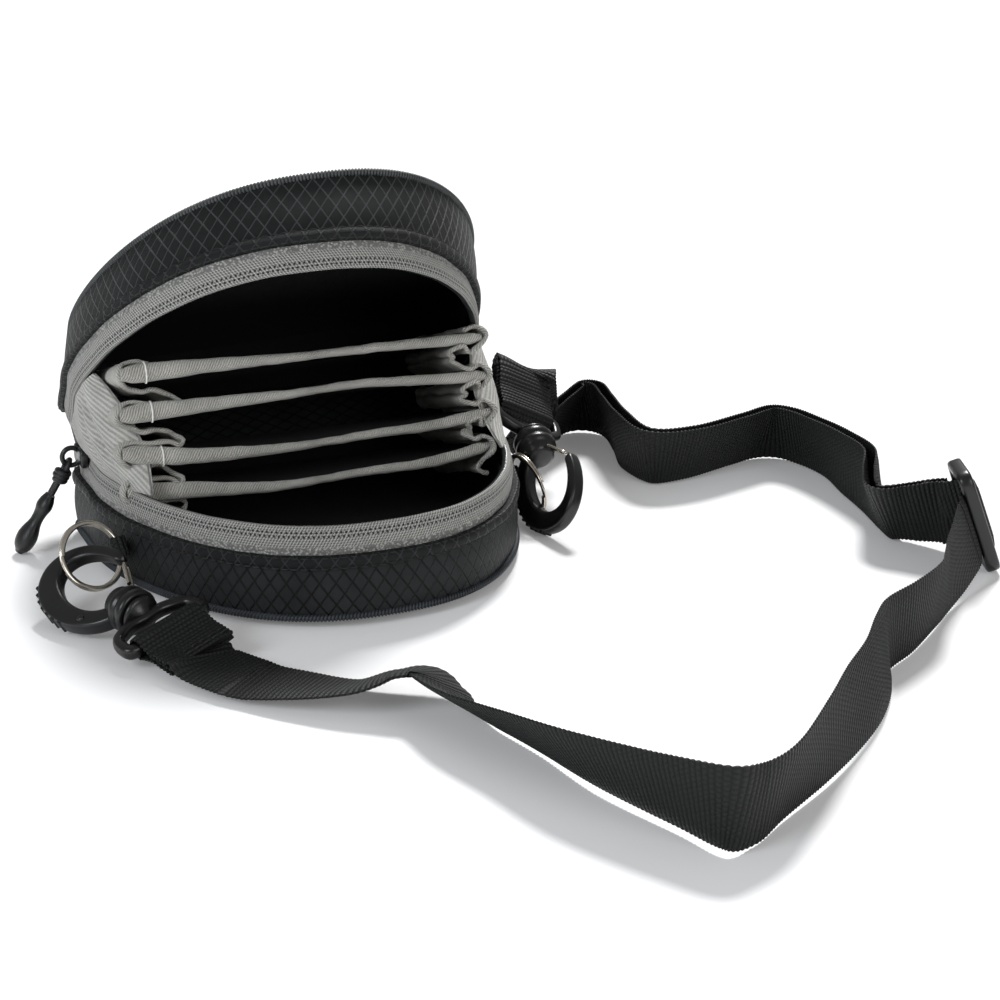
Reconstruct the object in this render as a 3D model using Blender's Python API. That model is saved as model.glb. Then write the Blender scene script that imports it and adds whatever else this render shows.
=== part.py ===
"""Zip case with five fanned pockets, two snap hooks and an adjustable shoulder strap.

Metres, +Z up. X runs across the mouth, the fold line is at +Y and the mouth looks to -Y.
The origin is the middle of the flat patch under the base, where the case stands.
"""
import bpy
import bmesh
import math
from mathutils import Matrix, Vector

MM = 0.001
FIT_GAP = 0.3 * MM
CUT_OVERRUN = 1.0 * MM

# Case outline, seen from above
CASE_WIDTH = 120.8 * MM
CASE_DEPTH = 104.0 * MM
STRAIGHT_SIDE = 30.6 * MM
REAR_CORNER_RADIUS = 8.0 * MM
FRONT_ROUNDNESS = 2.35
SIDE_ROUNDNESS = 1.67
FRONT_STEPS = 44
CORNER_STEPS = 4

# Heights of the closed case
PIPING_HEIGHT = 2.9 * MM
LOWER_SEAM_HEIGHT = 19.8 * MM
ZIP_LINE_HEIGHT = 27.7 * MM
LID_SEAM_HEIGHT = 35.4 * MM
LID_PIPING_HEIGHT = 54.4 * MM

# Walls, piping, hems and linings
WALL_THICKNESS = 2.2 * MM
WALL_FLARE = 1.0 * MM
LID_FLARE = 1.2 * MM
PANEL_THICKNESS = 2.2 * MM
PANEL_CROWN = PIPING_HEIGHT - 0.9 * MM
PIPING_RADIUS = 1.2 * MM
HEM_HEIGHT = 3.0 * MM
HEM_THICKNESS = 0.6 * MM
LINING_THICKNESS = 0.5 * MM
CROWN_SHARES = (1.0, 0.93, 0.8, 0.62)
CROWN_RISE_SHARES = (1.0, 0.55, 0.16, 0.0)

# Zip
TAPE_THICKNESS = 0.8 * MM
TAPE_LEAN = 0.6 * MM
COIL_RADIUS = 0.7 * MM
COIL_PITCH = 2.4 * MM
COIL_RIB_SHARE = 0.72
ZIP_END_FROM_REAR = 10.0 * MM
SLIDER_LENGTH = 10.0 * MM
SLIDER_HEIGHT = 6.0 * MM
SLIDER_THICKNESS = 2.4 * MM
SLIDER_FROM_REAR = 17.0 * MM
SLIDER_EYE_RADIUS = 2.6 * MM
SLIDER_EYE_WIRE = 0.55 * MM

# Fold line and opening
FOLD_DROP = 6.0 * MM
FOLD_BELOW_ZIP_SHARE = 1.0
FOLD_SLANT_DEG = 8.0
LID_OPEN_DEG = 38.0
SPINE_THICKNESS = 0.9 * MM
SPINE_INSET = 9.4 * MM
SPINE_HALF_WIDTH = CASE_WIDTH / 2 - SPINE_INSET
SPINE_STEPS = 6

# Dividers, from the lowest to the highest
DIVIDER_HEIGHTS = (12.0 * MM, 21.5 * MM, 31.5 * MM, 42.0 * MM)
DIVIDER_OPEN_DEG = (16.5, 17.0, 17.5, 18.0)
DIVIDER_HEM_REACH = (52.5 * MM, 54.0 * MM, 56.0 * MM, 59.0 * MM)
DIVIDER_THICKNESS = 0.8 * MM
DIVIDER_INSETS = (9.1 * MM, 7.9 * MM, 9.0 * MM, 10.6 * MM)
DIVIDER_HALF_WIDTHS = tuple(CASE_WIDTH / 2 - inset for inset in DIVIDER_INSETS)
DIVIDER_ROOT = 9.0 * MM
HEM_ROLL_RADIUS = 1.7 * MM

# Pleated side gussets and felt side panels
GUSSET_THICKNESS = 0.8 * MM
GUSSET_FOLD_DEPTH = 17.0 * MM
GUSSET_SETBACK = 1.5 * MM
GUSSET_TAIL = 5.2 * MM
FELT_THICKNESS = 0.8 * MM
FELT_FRONT_LOW = 59.0 * MM
FELT_FRONT_HIGH = 46.0 * MM
FELT_REAR = 11.0 * MM
FELT_COLUMNS = 14
FELT_ROWS = 4
FELT_CREASE = 0.35 * MM
FELT_CREASES = 3

# Side tabs and split rings
TAB_WIDTH = 5.6 * MM
TAB_THICKNESS = 0.9 * MM
TAB_LENGTH = 14.0 * MM
TAB_CLEARANCE = 0.7 * MM
TAB_SHIFT = 0.1 * MM
RING_RADIUS = 9.0 * MM
RING_WIRE = 0.8 * MM

# Snap hook, along its own axis from the ring to the strap
HOOK_LENGTH = 31.0 * MM
HOOK_WIDTH = 21.5 * MM
HOOK_BAND = 5.0 * MM
HOOK_THICKNESS = 4.6 * MM
HOOK_NOSE_SHARE = 0.55
HOOK_COLLAR_START = 14.5 * MM
HOOK_COLLAR_LENGTH = 5.2 * MM
HOOK_COLLAR_RADIUS = 6.2 * MM
HOOK_NECK_RADIUS = 4.6 * MM
SWIVEL_FLANGE_RADIUS = 5.4 * MM
SWIVEL_FLANGE_THICKNESS = 1.6 * MM
EYE_DEPTH = 9.0 * MM
EYE_WIDTH = 27.2 * MM
EYE_WIRE = 1.6 * MM
EYE_SHAPE_SHARES = ((0.0, 0.0), (0.0, 0.45), (0.3, 0.9), (0.8, 1.0), (1.0, 0.9), (1.0, 0.4))
GATE_WIRE = 0.6 * MM
GATE_SPREAD = 1.2 * MM
GRIP_RIBS = 6
GRIP_RIB_RADIUS = 0.6 * MM

# Webbing and slider buckle
WEB_WIDTH = 20.0 * MM
WEB_THICKNESS = 1.3 * MM
WEB_LAYER_GAP = 0.9 * MM
GLIDE_LENGTH = 31.0 * MM
GLIDE_WIDTH = 17.0 * MM
GLIDE_THICKNESS = 3.2 * MM
GLIDE_SLOT_LENGTH = 22.4 * MM
GLIDE_SLOT_WIDTH = 4.6 * MM
GLIDE_BAR = 3.0 * MM
GLIDE_FILLET = 0.7 * MM

# Where the loose pieces lie: place, then the directions of their own axes
HALF_WIDTH = CASE_WIDTH / 2
LEFT_HOOK_OFFSET = 12.1 * MM
RIGHT_HOOK_OFFSET = 8.2 * MM
LEFT_RING_OFFSET = 0.49 * MM
RIGHT_RING_OFFSET = 4.5 * MM
GLIDE_OFFSET = 103.2 * MM
LEFT_HOOK_PLACE = (-HALF_WIDTH - LEFT_HOOK_OFFSET, -22.4 * MM, 9.9 * MM)
LEFT_HOOK_AXIS = (0.39, -0.92, -0.09)
LEFT_HOOK_WIDTH_DIRECTION = (0.80, 0.28, 0.54)
LEFT_BAR_DIRECTION = (0.90, 0.36, 0.21)
RIGHT_HOOK_PLACE = (HALF_WIDTH + RIGHT_HOOK_OFFSET, -4.1 * MM, 13.4 * MM)
RIGHT_HOOK_AXIS = (0.13, 0.90, 0.41)
RIGHT_HOOK_WIDTH_DIRECTION = (0.45, -0.42, 0.79)
RIGHT_BAR_DIRECTION = (0.88, 0.08, -0.45)
LEFT_RING_PIVOT = (-HALF_WIDTH - LEFT_RING_OFFSET, -4.9 * MM, 13.34 * MM)
LEFT_RING_REACH = (-0.917, -0.399, 0.013)
LEFT_RING_TANGENT = (-0.165, 0.431, 0.887)
LEFT_TAB_TAIL = (-0.03, 0.90, -0.44)
RIGHT_RING_PIVOT = (HALF_WIDTH + RIGHT_RING_OFFSET, 14.4 * MM, 10.4 * MM)
RIGHT_RING_REACH = (0.102, -0.993, 0.063)
RIGHT_RING_TANGENT = (-0.253, -0.035, 0.967)
RIGHT_TAB_TAIL = (-0.15, 0.98, -0.01)
GLIDE_PLACE = (HALF_WIDTH + GLIDE_OFFSET, -81.6 * MM, 15.2 * MM)
GLIDE_LONG_DIRECTION = (0.33, -0.13, -0.93)
GLIDE_ACROSS_DIRECTION = (0.40, 0.92, 0.0)
WRAP_ROUTE = (
    (-4.0, -12.0), (-2.6, -8.4), (-2.6, -6.0), (-1.6, -4.4), (1.6, -3.2), (2.6, -1.8),
    (2.8, 0.0), (2.6, 1.8), (1.6, 3.2), (-1.6, 4.4), (-4.4, 6.0), (-7.0, 8.0))
PULLER_REACH = (-0.52, 0.07, -0.85)
PULLER_CORD = 13.4 * MM
PULLER_CORD_RADIUS = 0.75 * MM
PULLER_TIP_LENGTH = 14.2 * MM
PULLER_TIP_RADIUS = 2.9 * MM
PULLER_WAIST_SHARES = (0.72, 0.8, 0.62, 0.66, 0.95, 1.0, 0.8, 0.35)

# Strap route: place on the ground, lift of the lower edge, lean from upright in degrees.
# The places were laid beside a case of this half width, and they follow its sides.
ROUTE_HALF_WIDTH = 60.4 * MM
FLOOR_CLEARANCE = 0.3 * MM
STRAP_LONG_ROUTE = (
    (-53.2, -71.5, 0.8, 84), (-41.5, -83.5, 0.3, 93), (-29.5, -93.0, 0.2, 101),
    (-19.3, -97.5, 1.6, 106), (-9.5, -101.5, 1.6, 100), (-2.6, -110.0, 3.2, 76),
    (0.2, -121.0, 2.2, 34), (-1.8, -131.5, 0.9, -18), (-4.6, -141.0, 1.6, -44),
    (-1.2, -157.5, 1.6, -35), (9.3, -178.8, 0.4, -20), (18.6, -194.6, 0.0, -3),
    (26.4, -196.4, 0.0, -7), (37.6, -190.2, 0.3, -10), (54.6, -178.0, 0.8, 2),
    (69.2, -165.8, 0.6, 12), (82.0, -154.6, 0.4, 14), (92.4, -143.0, 0.5, 13),
    (100.2, -133.6, 0.1, 2), (113.0, -126.6, 0.1, -2), (125.8, -118.0, 0.3, -5),
    (136.6, -107.6, 0.2, 4), (146.6, -99.0, 1.6, 12), (155.1, -91.4, 3.6, 19))
STRAP_FRONT_ROUTE = (
    (159.4, -69.8, 2.5, 14), (154.6, -63.8, 1.2, 22), (150.0, -56.6, 0.3, 28),
    (153.8, -46.0, 0.0, 18),
    (160.6, -31.0, 0.2, 2), (163.4, -15.0, 0.1, 5), (165.2, 0.8, 0.2, 15),
    (163.6, 13.6, 0.4, 17), (158.4, 20.4, 0.7, 21), (145.6, 17.4, 0.6, 23),
    (126.2, 12.6, 0.2, 22), (112.0, 15.2, 0.0, 18), (110.6, 32.6, 0.5, 9),
    (115.4, 50.0, 0.6, 13), (118.6, 64.0, 0.9, 15), (114.6, 70.2, 0.9, 22),
    (104.6, 63.6, 0.5, 27), (97.4, 58.6, 0.1, 31))
STRAP_BACK_OFFSET = 3.4 * MM
ROUTE_SUBSTEPS = 4
RIGHT_RISE_ROUTE = (
    (77.2, 32.6, 36.6), (79.0, 36.2, 41.0), (81.6, 40.0, 40.4),
    (84.2, 43.4, 33.0), (86.6, 46.4, 23.4), (88.8, 49.2, 15.2))
LEFT_TAIL_DIRECTION = (0.40, -0.89, -0.17)
LEFT_TAIL_LENGTH = 17.0 * MM
RIGHT_TAIL_DIRECTION = (0.10, 0.55, 0.83)
RIGHT_TAIL_LENGTH = 6.5 * MM
RISE_RUN_OUT = 7.4 * MM
RISE_LIFT = 2.0 * MM
RISE_END_GAP = 2.6 * MM
LOOP_CLEARANCE = 0.5 * MM

REAR_Y = CASE_DEPTH / 2
SIDE_SHIFT = HALF_WIDTH - ROUTE_HALF_WIDTH
FOLD_HEIGHT = ZIP_LINE_HEIGHT + FIT_GAP - FOLD_DROP * FOLD_BELOW_ZIP_SHARE
FOLD_POINT = Vector((0.0, REAR_Y, FOLD_HEIGHT))
FOLD_AXIS = Vector((math.cos(math.radians(FOLD_SLANT_DEG)), 0.0,
                    math.sin(math.radians(FOLD_SLANT_DEG))))


def clear_scene():
    for obj in list(bpy.data.objects):
        bpy.data.objects.remove(obj, do_unlink=True)


def material(name, colour, roughness, metallic=0.0):
    made = bpy.data.materials.get(name)
    if made:
        return made
    made = bpy.data.materials.new(name)
    made.use_nodes = True
    shader = made.node_tree.nodes["Principled BSDF"]
    shader.inputs["Base Color"].default_value = (*colour, 1.0)
    shader.inputs["Roughness"].default_value = roughness
    shader.inputs["Metallic"].default_value = metallic
    made.diffuse_color = (*colour, 1.0)
    return made


def ripstop():
    return material("ripstop", (0.022, 0.024, 0.025), 0.62)


def black_trim():
    return material("black_trim", (0.018, 0.019, 0.020), 0.7)


def zip_grey():
    return material("zip_grey", (0.19, 0.19, 0.185), 0.8)


def lining_black():
    return material("lining_black", (0.008, 0.008, 0.009), 0.85)


def canvas():
    return material("canvas", (0.42, 0.40, 0.36), 0.95)


def webbing():
    return material("webbing", (0.012, 0.014, 0.012), 0.75)


def acetal():
    return material("acetal", (0.015, 0.015, 0.015), 0.35)


def steel():
    return material("steel", (0.62, 0.60, 0.57), 0.25, 1.0)


def finish_mesh(name, bm, surface, smooth=True, parent=None):
    """Turn a bmesh into an object whose faces point out."""
    bmesh.ops.recalc_face_normals(bm, faces=bm.faces)
    if bm.calc_volume(signed=True) < 0:
        bmesh.ops.reverse_faces(bm, faces=bm.faces)
    mesh = bpy.data.meshes.new(name)
    bm.to_mesh(mesh)
    bm.free()
    mesh.materials.append(surface)
    obj = bpy.data.objects.new(name, mesh)
    bpy.context.collection.objects.link(obj)
    if smooth:
        mesh.shade_smooth()
        mesh.set_sharp_from_angle(angle=math.radians(35))
    if parent is not None:
        obj.parent = parent
        mesh.transform(Matrix.Translation(-parent.location))
    return obj


def add_loft(bm, rings, closed=False):
    """Skin a row of point rings; an open row gets an end face at each end."""
    loops = [[bm.verts.new(point) for point in ring] for ring in rings]
    count = len(loops[0])
    last = len(loops) if closed else len(loops) - 1
    for i in range(last):
        here = loops[i]
        there = loops[(i + 1) % len(loops)]
        for j in range(count):
            k = (j + 1) % count
            bm.faces.new((here[j], here[k], there[k], there[j]))
    if not closed:
        bm.faces.new(loops[0])
        bm.faces.new(loops[-1])


def loft(name, rings, surface, closed=False, smooth=True, parent=None):
    bm = bmesh.new()
    add_loft(bm, rings, closed)
    return finish_mesh(name, bm, surface, smooth, parent)


def side_reach(y, inset=0.0):
    """Half width of the outline at a depth y."""
    back = REAR_Y - y
    width = HALF_WIDTH - inset
    if back <= STRAIGHT_SIDE:
        return width
    share = (back - STRAIGHT_SIDE) / (CASE_DEPTH - inset - STRAIGHT_SIDE)
    return width * max(0.0, 1.0 - share ** SIDE_ROUNDNESS) ** (1.0 / FRONT_ROUNDNESS)


def front_points(inset):
    """Right side, round the front to the left side."""
    width = HALF_WIDTH - inset
    reach = CASE_DEPTH - inset - STRAIGHT_SIDE
    points = []
    for i in range(FRONT_STEPS + 1):
        turn = math.pi * i / FRONT_STEPS
        across = abs(math.cos(turn)) ** (2.0 / FRONT_ROUNDNESS)
        ahead = math.sin(turn) ** (2.0 / SIDE_ROUNDNESS) if 0 < i < FRONT_STEPS else 0.0
        x = math.copysign(width * across, math.cos(turn))
        points.append(Vector((x, REAR_Y - STRAIGHT_SIDE - reach * ahead)))
    return points


def outline(inset=0.0, share=1.0):
    """The whole case outline, set in by a distance, then shrunk by a share."""
    points = front_points(inset)
    radius = REAR_CORNER_RADIUS - inset / 2
    for side, start in ((-1.0, 180.0), (1.0, 90.0)):
        centre = Vector((side * (HALF_WIDTH - inset - radius), REAR_Y - inset - radius))
        for i in range(CORNER_STEPS + 1):
            turn = math.radians(start - 90.0 * i / CORNER_STEPS)
            points.append(centre + radius * Vector((math.cos(turn), math.sin(turn))))
    return [point * share for point in points]


def level(points, height):
    return [Vector((point.x, point.y, height)) for point in points]


def fold_turn(degrees):
    return Matrix.Rotation(-math.radians(degrees), 3, FOLD_AXIS)


def opened(point, degrees):
    """Where a point of the closed case goes when its sheet turns about the fold line."""
    return fold_turn(degrees) @ (point - FOLD_POINT) + FOLD_POINT


def pivot_empty(name, place, turn=None):
    empty = bpy.data.objects.new(name, None)
    empty.location = place
    if turn is not None:
        empty.rotation_mode = "QUATERNION"
        empty.rotation_quaternion = turn.to_quaternion()
    bpy.context.collection.objects.link(empty)
    return empty


def wall_ring(name, bottom, top, bottom_inset, top_inset, thickness, surface, parent=None):
    rings = [level(outline(bottom_inset), bottom), level(outline(top_inset), top),
             level(outline(top_inset + thickness), top),
             level(outline(bottom_inset + thickness), bottom)]
    return loft(name, rings, surface, closed=True, parent=parent)


def crowned_panel(name, edge_height, direction, surface, parent=None):
    """Face panel that swells outwards to a flat middle."""
    outer = []
    inner = []
    for share, rise in zip(CROWN_SHARES, CROWN_RISE_SHARES):
        height = edge_height + direction * PANEL_CROWN * (1.0 - rise)
        outer.append(level(outline(FIT_GAP, share), height))
        inner.append(level(outline(FIT_GAP, share), height - direction * PANEL_THICKNESS))
    return loft(name, outer[::-1] + inner, surface, parent=parent)


def lining_tub(name, edge_height, rim_height, direction, surface, parent=None):
    """Thin lining over the inside of a panel and its wall."""
    inset = WALL_THICKNESS + FIT_GAP
    outer = []
    inner = []
    for share, rise in zip(CROWN_SHARES, CROWN_RISE_SHARES):
        height = edge_height + direction * PANEL_CROWN * (1.0 - rise)
        outer.append(level(outline(inset, share), height))
        inner.append(level(outline(inset + LINING_THICKNESS, share),
                           height - direction * LINING_THICKNESS))
    rings = outer[::-1] + [level(outline(inset), rim_height),
                           level(outline(inset + LINING_THICKNESS), rim_height)] + inner
    return loft(name, rings, surface, parent=parent)


def piping(name, height, inset, surface, parent=None):
    rings = []
    sides = 6
    for j in range(sides):
        turn = 2 * math.pi * j / sides
        rings.append(level(outline(inset - PIPING_RADIUS * math.cos(turn)),
                           height + PIPING_RADIUS * math.sin(turn)))
    return loft(name, rings, surface, closed=True, parent=parent)


def zip_path(inset):
    """The run of a zip tape: from the right rear, round the front, to the left rear."""
    width = HALF_WIDTH - inset
    rear = REAR_Y - ZIP_END_FROM_REAR
    return [Vector((width, rear))] + front_points(inset) + [Vector((-width, rear))]


def zip_tape(name, low, high, low_inset, high_inset, surface, parent=None):
    outer_low = level(zip_path(low_inset), low)
    outer_high = level(zip_path(high_inset), high)
    inner_high = level(zip_path(high_inset + TAPE_THICKNESS), high)
    inner_low = level(zip_path(low_inset + TAPE_THICKNESS), low)
    rings = [list(ring) for ring in zip(outer_low, outer_high, inner_high, inner_low)]
    return loft(name, rings, surface, parent=parent)


def resampled(points, spacing):
    """Even steps along a polyline."""
    lengths = [0.0]
    for a, b in zip(points, points[1:]):
        lengths.append(lengths[-1] + (b - a).length)
    count = max(2, round(lengths[-1] / spacing))
    result = []
    for i in range(count + 1):
        want = lengths[-1] * i / count
        k = 0
        while k < len(points) - 2 and lengths[k + 1] < want:
            k += 1
        span = lengths[k + 1] - lengths[k]
        result.append(points[k].lerp(points[k + 1], (want - lengths[k]) / span))
    return result


def zip_coil(name, height, inset, surface, parent=None):
    """The nylon coil along a tape, with one rib for each turn."""
    path = resampled([point.to_3d() for point in zip_path(inset)], COIL_PITCH / 2)
    rings = []
    sides = 4
    for i, point in enumerate(path):
        ahead = (path[min(i + 1, len(path) - 1)] - path[max(i - 1, 0)]).normalized()
        across = Vector((0.0, 0.0, 1.0)).cross(ahead)
        radius = COIL_RADIUS * (1.0 if i % 2 else COIL_RIB_SHARE)
        ring = []
        for j in range(sides):
            turn = 2 * math.pi * (j + 0.5) / sides
            ring.append(point + across * (radius * math.cos(turn))
                        + Vector((0.0, 0.0, height + radius * math.sin(turn))))
        rings.append(ring)
    return loft(name, rings, surface, smooth=False, parent=parent)


def half_shell(prefix, parent, edge, wall_end, wall_flare, seam, zip_edge, direction):
    """One half of the case: panel, piping, wall, hem, tape, coil and lining."""
    wall_start = edge + direction * (PIPING_RADIUS + FIT_GAP)
    crowned_panel(prefix + "_panel", edge - direction * PIPING_RADIUS + direction * FIT_GAP,
                  -direction, ripstop(), parent)
    piping(prefix + "_piping", edge, -PIPING_RADIUS - FIT_GAP, black_trim(), parent)
    low, high = sorted((wall_start, wall_end))
    flares = (-wall_flare, 0.0) if direction > 0 else (0.0, -wall_flare)
    wall_ring(prefix + "_wall", low, high, flares[0], flares[1], WALL_THICKNESS,
              ripstop(), parent)
    band = sorted((seam, seam - direction * HEM_HEIGHT))
    hem_inset = -HEM_THICKNESS - FIT_GAP - wall_flare * HEM_HEIGHT / abs(wall_end - wall_start)
    wall_ring(prefix + "_hem", band[0], band[1], hem_inset, hem_inset, HEM_THICKNESS,
              black_trim(), parent)
    tape_low, tape_high = sorted((seam + direction * FIT_GAP, zip_edge))
    leans = (FIT_GAP, TAPE_LEAN) if direction > 0 else (TAPE_LEAN, FIT_GAP)
    zip_tape(prefix + "_zip_tape", tape_low, tape_high, leans[0], leans[1], zip_grey(), parent)
    zip_coil(prefix + "_zip_coil", zip_edge - direction * COIL_RADIUS,
             TAPE_LEAN + TAPE_THICKNESS + FIT_GAP + COIL_RADIUS, zip_grey(), parent)
    lining_edge = edge + direction * (PANEL_THICKNESS - PIPING_RADIUS + LINING_THICKNESS + FIT_GAP * 3)
    lining_tub(prefix + "_lining", lining_edge, wall_end, -direction, lining_black(), parent)


def spine_panel():
    """Flexible back strip between the rear walls, in its half open shape."""
    low_z = LOWER_SEAM_HEIGHT + FIT_GAP
    high_z = LID_SEAM_HEIGHT - FIT_GAP
    y_out = REAR_Y - FIT_GAP
    rings = []
    for i in range(SPINE_STEPS + 1):
        share = i / SPINE_STEPS
        closed_z = low_z + (high_z - low_z) * share
        ring = []
        for depth in (0.0, SPINE_THICKNESS):
            row = []
            for side in (-1.0, -0.5, 0.0, 0.5, 1.0):
                flat = Vector((side * SPINE_HALF_WIDTH, y_out - depth, closed_z))
                row.append(opened(flat, LID_OPEN_DEG * share))
            ring += row if depth == 0.0 else row[::-1]
        rings.append(ring)
    return loft("spine_panel", rings, ripstop())


def divider(index):
    """One page of the pocket fan: a canvas sheet with a rolled hem at the mouth."""
    height = DIVIDER_HEIGHTS[index]
    reach = DIVIDER_HEM_REACH[index]
    pivot = pivot_empty(f"divider_{index + 1}_pivot", FOLD_POINT,
                        fold_turn(DIVIDER_OPEN_DEG[index]))
    half = DIVIDER_THICKNESS / 2
    root_y = REAR_Y - DIVIDER_ROOT
    hem_y = REAR_Y - reach
    profile = [(root_y, height - half), (hem_y + HEM_ROLL_RADIUS, height - half)]
    for degrees in range(-60, -301, -40):
        turn = math.radians(degrees)
        profile.append((hem_y + HEM_ROLL_RADIUS * math.cos(turn),
                        height + HEM_ROLL_RADIUS * math.sin(turn)))
    profile += [(hem_y + HEM_ROLL_RADIUS, height + half), (root_y, height + half)]
    rings = []
    for side in (-1.0, 1.0):
        rings.append([Vector((side * DIVIDER_HALF_WIDTHS[index], y, z)) for y, z in profile])
    return loft(f"divider_{index + 1}", rings, canvas(), parent=pivot)


def divider_angle(height):
    """Opening angle of the pocket fan at a height of the closed case."""
    first, last = DIVIDER_HEIGHTS[0], DIVIDER_HEIGHTS[-1]
    share = (height - first) / (last - first)
    return DIVIDER_OPEN_DEG[0] + (DIVIDER_OPEN_DEG[-1] - DIVIDER_OPEN_DEG[0]) * share


def gusset(name, side):
    """Bellows at the ends of the dividers, folded inwards between each pair."""
    outers = [width + FIT_GAP + GUSSET_THICKNESS / 2 for width in DIVIDER_HALF_WIDTHS]
    inner_x = min(outers) - GUSSET_FOLD_DEPTH
    half = GUSSET_THICKNESS / 2
    wrap = DIVIDER_THICKNESS / 2 + 2 * FIT_GAP
    zigzag = [(inner_x, DIVIDER_HEIGHTS[0] - GUSSET_TAIL)]
    for index, height in enumerate(DIVIDER_HEIGHTS):
        zigzag += [(outers[index], height - wrap), (outers[index], height + wrap)]
        if index + 1 < len(DIVIDER_HEIGHTS):
            zigzag.append((inner_x, (height + DIVIDER_HEIGHTS[index + 1]) / 2))
    zigzag.append((inner_x, DIVIDER_HEIGHTS[-1] + GUSSET_TAIL))
    front = REAR_Y - min(DIVIDER_HEM_REACH) + HEM_ROLL_RADIUS + GUSSET_SETBACK
    rear = REAR_Y - DIVIDER_ROOT
    rows = []
    for y in (front, rear):
        for push in (half, -half):
            rows.append([opened(Vector((side * (x + push), y, z)), divider_angle(z))
                         for x, z in zigzag])
    rings = [list(ring) for ring in zip(rows[0], rows[2], rows[3], rows[1])]
    return loft(name, rings, canvas(), smooth=False)


def felt_panel(name, side):
    """Soft side wall between the edges of the two zip tapes, creased where it folds."""
    rows = []
    for depth in (0.0, FELT_THICKNESS):
        grid = []
        for i in range(FELT_COLUMNS + 1):
            share = i / FELT_COLUMNS
            crease = FELT_CREASE * math.sin(math.pi * FELT_CREASES * share) ** 2
            low_y = REAR_Y - (FELT_REAR + (FELT_FRONT_LOW - FELT_REAR) * share)
            high_y = REAR_Y - (FELT_REAR + (FELT_FRONT_HIGH - FELT_REAR) * share)
            inset = TAPE_LEAN + depth + crease
            low = Vector((side * (side_reach(low_y) - inset), low_y,
                          ZIP_LINE_HEIGHT + FIT_GAP))
            high = opened(Vector((side * (side_reach(high_y) - inset), high_y,
                                  ZIP_LINE_HEIGHT)), LID_OPEN_DEG)
            grid.append([low.lerp(high, j / FELT_ROWS) for j in range(FELT_ROWS + 1)])
        rows.append(grid)
    rings = []
    for i in range(FELT_COLUMNS + 1):
        rings.append(rows[0][i] + rows[1][i][::-1])
    return loft(name, rings, canvas())


def frame_matrix(place, along, across):
    """Place and turn for a piece whose X runs along and whose Y runs across."""
    x_axis = Vector(along).normalized()
    y_axis = Vector(across)
    y_axis = (y_axis - x_axis * y_axis.dot(x_axis)).normalized()
    z_axis = x_axis.cross(y_axis)
    turn = Matrix((x_axis, y_axis, z_axis)).transposed()
    return Matrix.Translation(Vector(place)) @ turn.to_4x4()


def swept(path, ups, width, thickness):
    """Rings of a flat band along a path; ups point across the band."""
    rings = []
    for i, point in enumerate(path):
        ahead = (path[min(i + 1, len(path) - 1)] - path[max(i - 1, 0)]).normalized()
        up = ups[i] - ahead * ups[i].dot(ahead)
        up.normalize()
        out = ahead.cross(up)
        rings.append([point + up * (width / 2) + out * (thickness / 2),
                      point + up * (width / 2) - out * (thickness / 2),
                      point - up * (width / 2) - out * (thickness / 2),
                      point - up * (width / 2) + out * (thickness / 2)])
    return rings


def smooth_row(values, substeps):
    """Points on a smooth curve through a row of vectors."""
    result = []
    last = len(values) - 1
    for i in range(last):
        p0, p1 = values[max(i - 1, 0)], values[i]
        p2, p3 = values[i + 1], values[min(i + 2, last)]
        for k in range(substeps):
            t = k / substeps
            result.append(0.5 * ((2 * p1) + (p2 - p0) * t
                                 + (2 * p0 - 5 * p1 + 4 * p2 - p3) * t * t
                                 + (3 * p1 - p0 - 3 * p2 + p3) * t * t * t))
    result.append(values[last].copy())
    return result


def ground_route(route, side_offset=0.0, first_side=1.0):
    """Centre line and width directions of webbing that stands or lies on the ground.

    first_side is the side of the case that the first point follows; the last follows the right.
    """
    rows = []
    for i, (x, y, lift, lean) in enumerate(route):
        side = first_side + (1.0 - first_side) * i / (len(route) - 1)
        rows.append(Vector((x * MM + side * SIDE_SHIFT, y * MM, lift * MM, math.radians(lean))))
    rows = smooth_row(rows, ROUTE_SUBSTEPS)
    path = []
    ups = []
    for i, row in enumerate(rows):
        step = rows[min(i + 1, len(rows) - 1)] - rows[max(i - 1, 0)]
        ahead = Vector((step.x, step.y, 0.0)).normalized()
        left = Vector((-ahead.y, ahead.x, 0.0))
        lean = row.w
        height = (FLOOR_CLEARANCE + max(row.z, 0.0) + abs(math.cos(lean)) * WEB_WIDTH / 2
                  + abs(math.sin(lean)) * WEB_THICKNESS / 2)
        up = Vector((0.0, 0.0, math.cos(lean))) + left * math.sin(lean)
        path.append(Vector((row.x, row.y, height)) + left * side_offset)
        ups.append(up)
    return path, ups


def web_tab(name, ring_pivot, ring_reach, ring_tangent, tail_direction):
    """Webbing folded round the ring's wire, its two layers sewn to the side wall."""
    middle = Vector(ring_pivot) + Vector(ring_reach).normalized() * TAB_SHIFT
    own = frame_matrix(middle, Vector(ring_tangent).cross(Vector(tail_direction)),
                       ring_tangent)
    return web_fold(name, own, 0.0, tail_direction, TAB_LENGTH, RING_WIRE + TAB_CLEARANCE,
                    TAB_THICKNESS, TAB_WIDTH)


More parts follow.
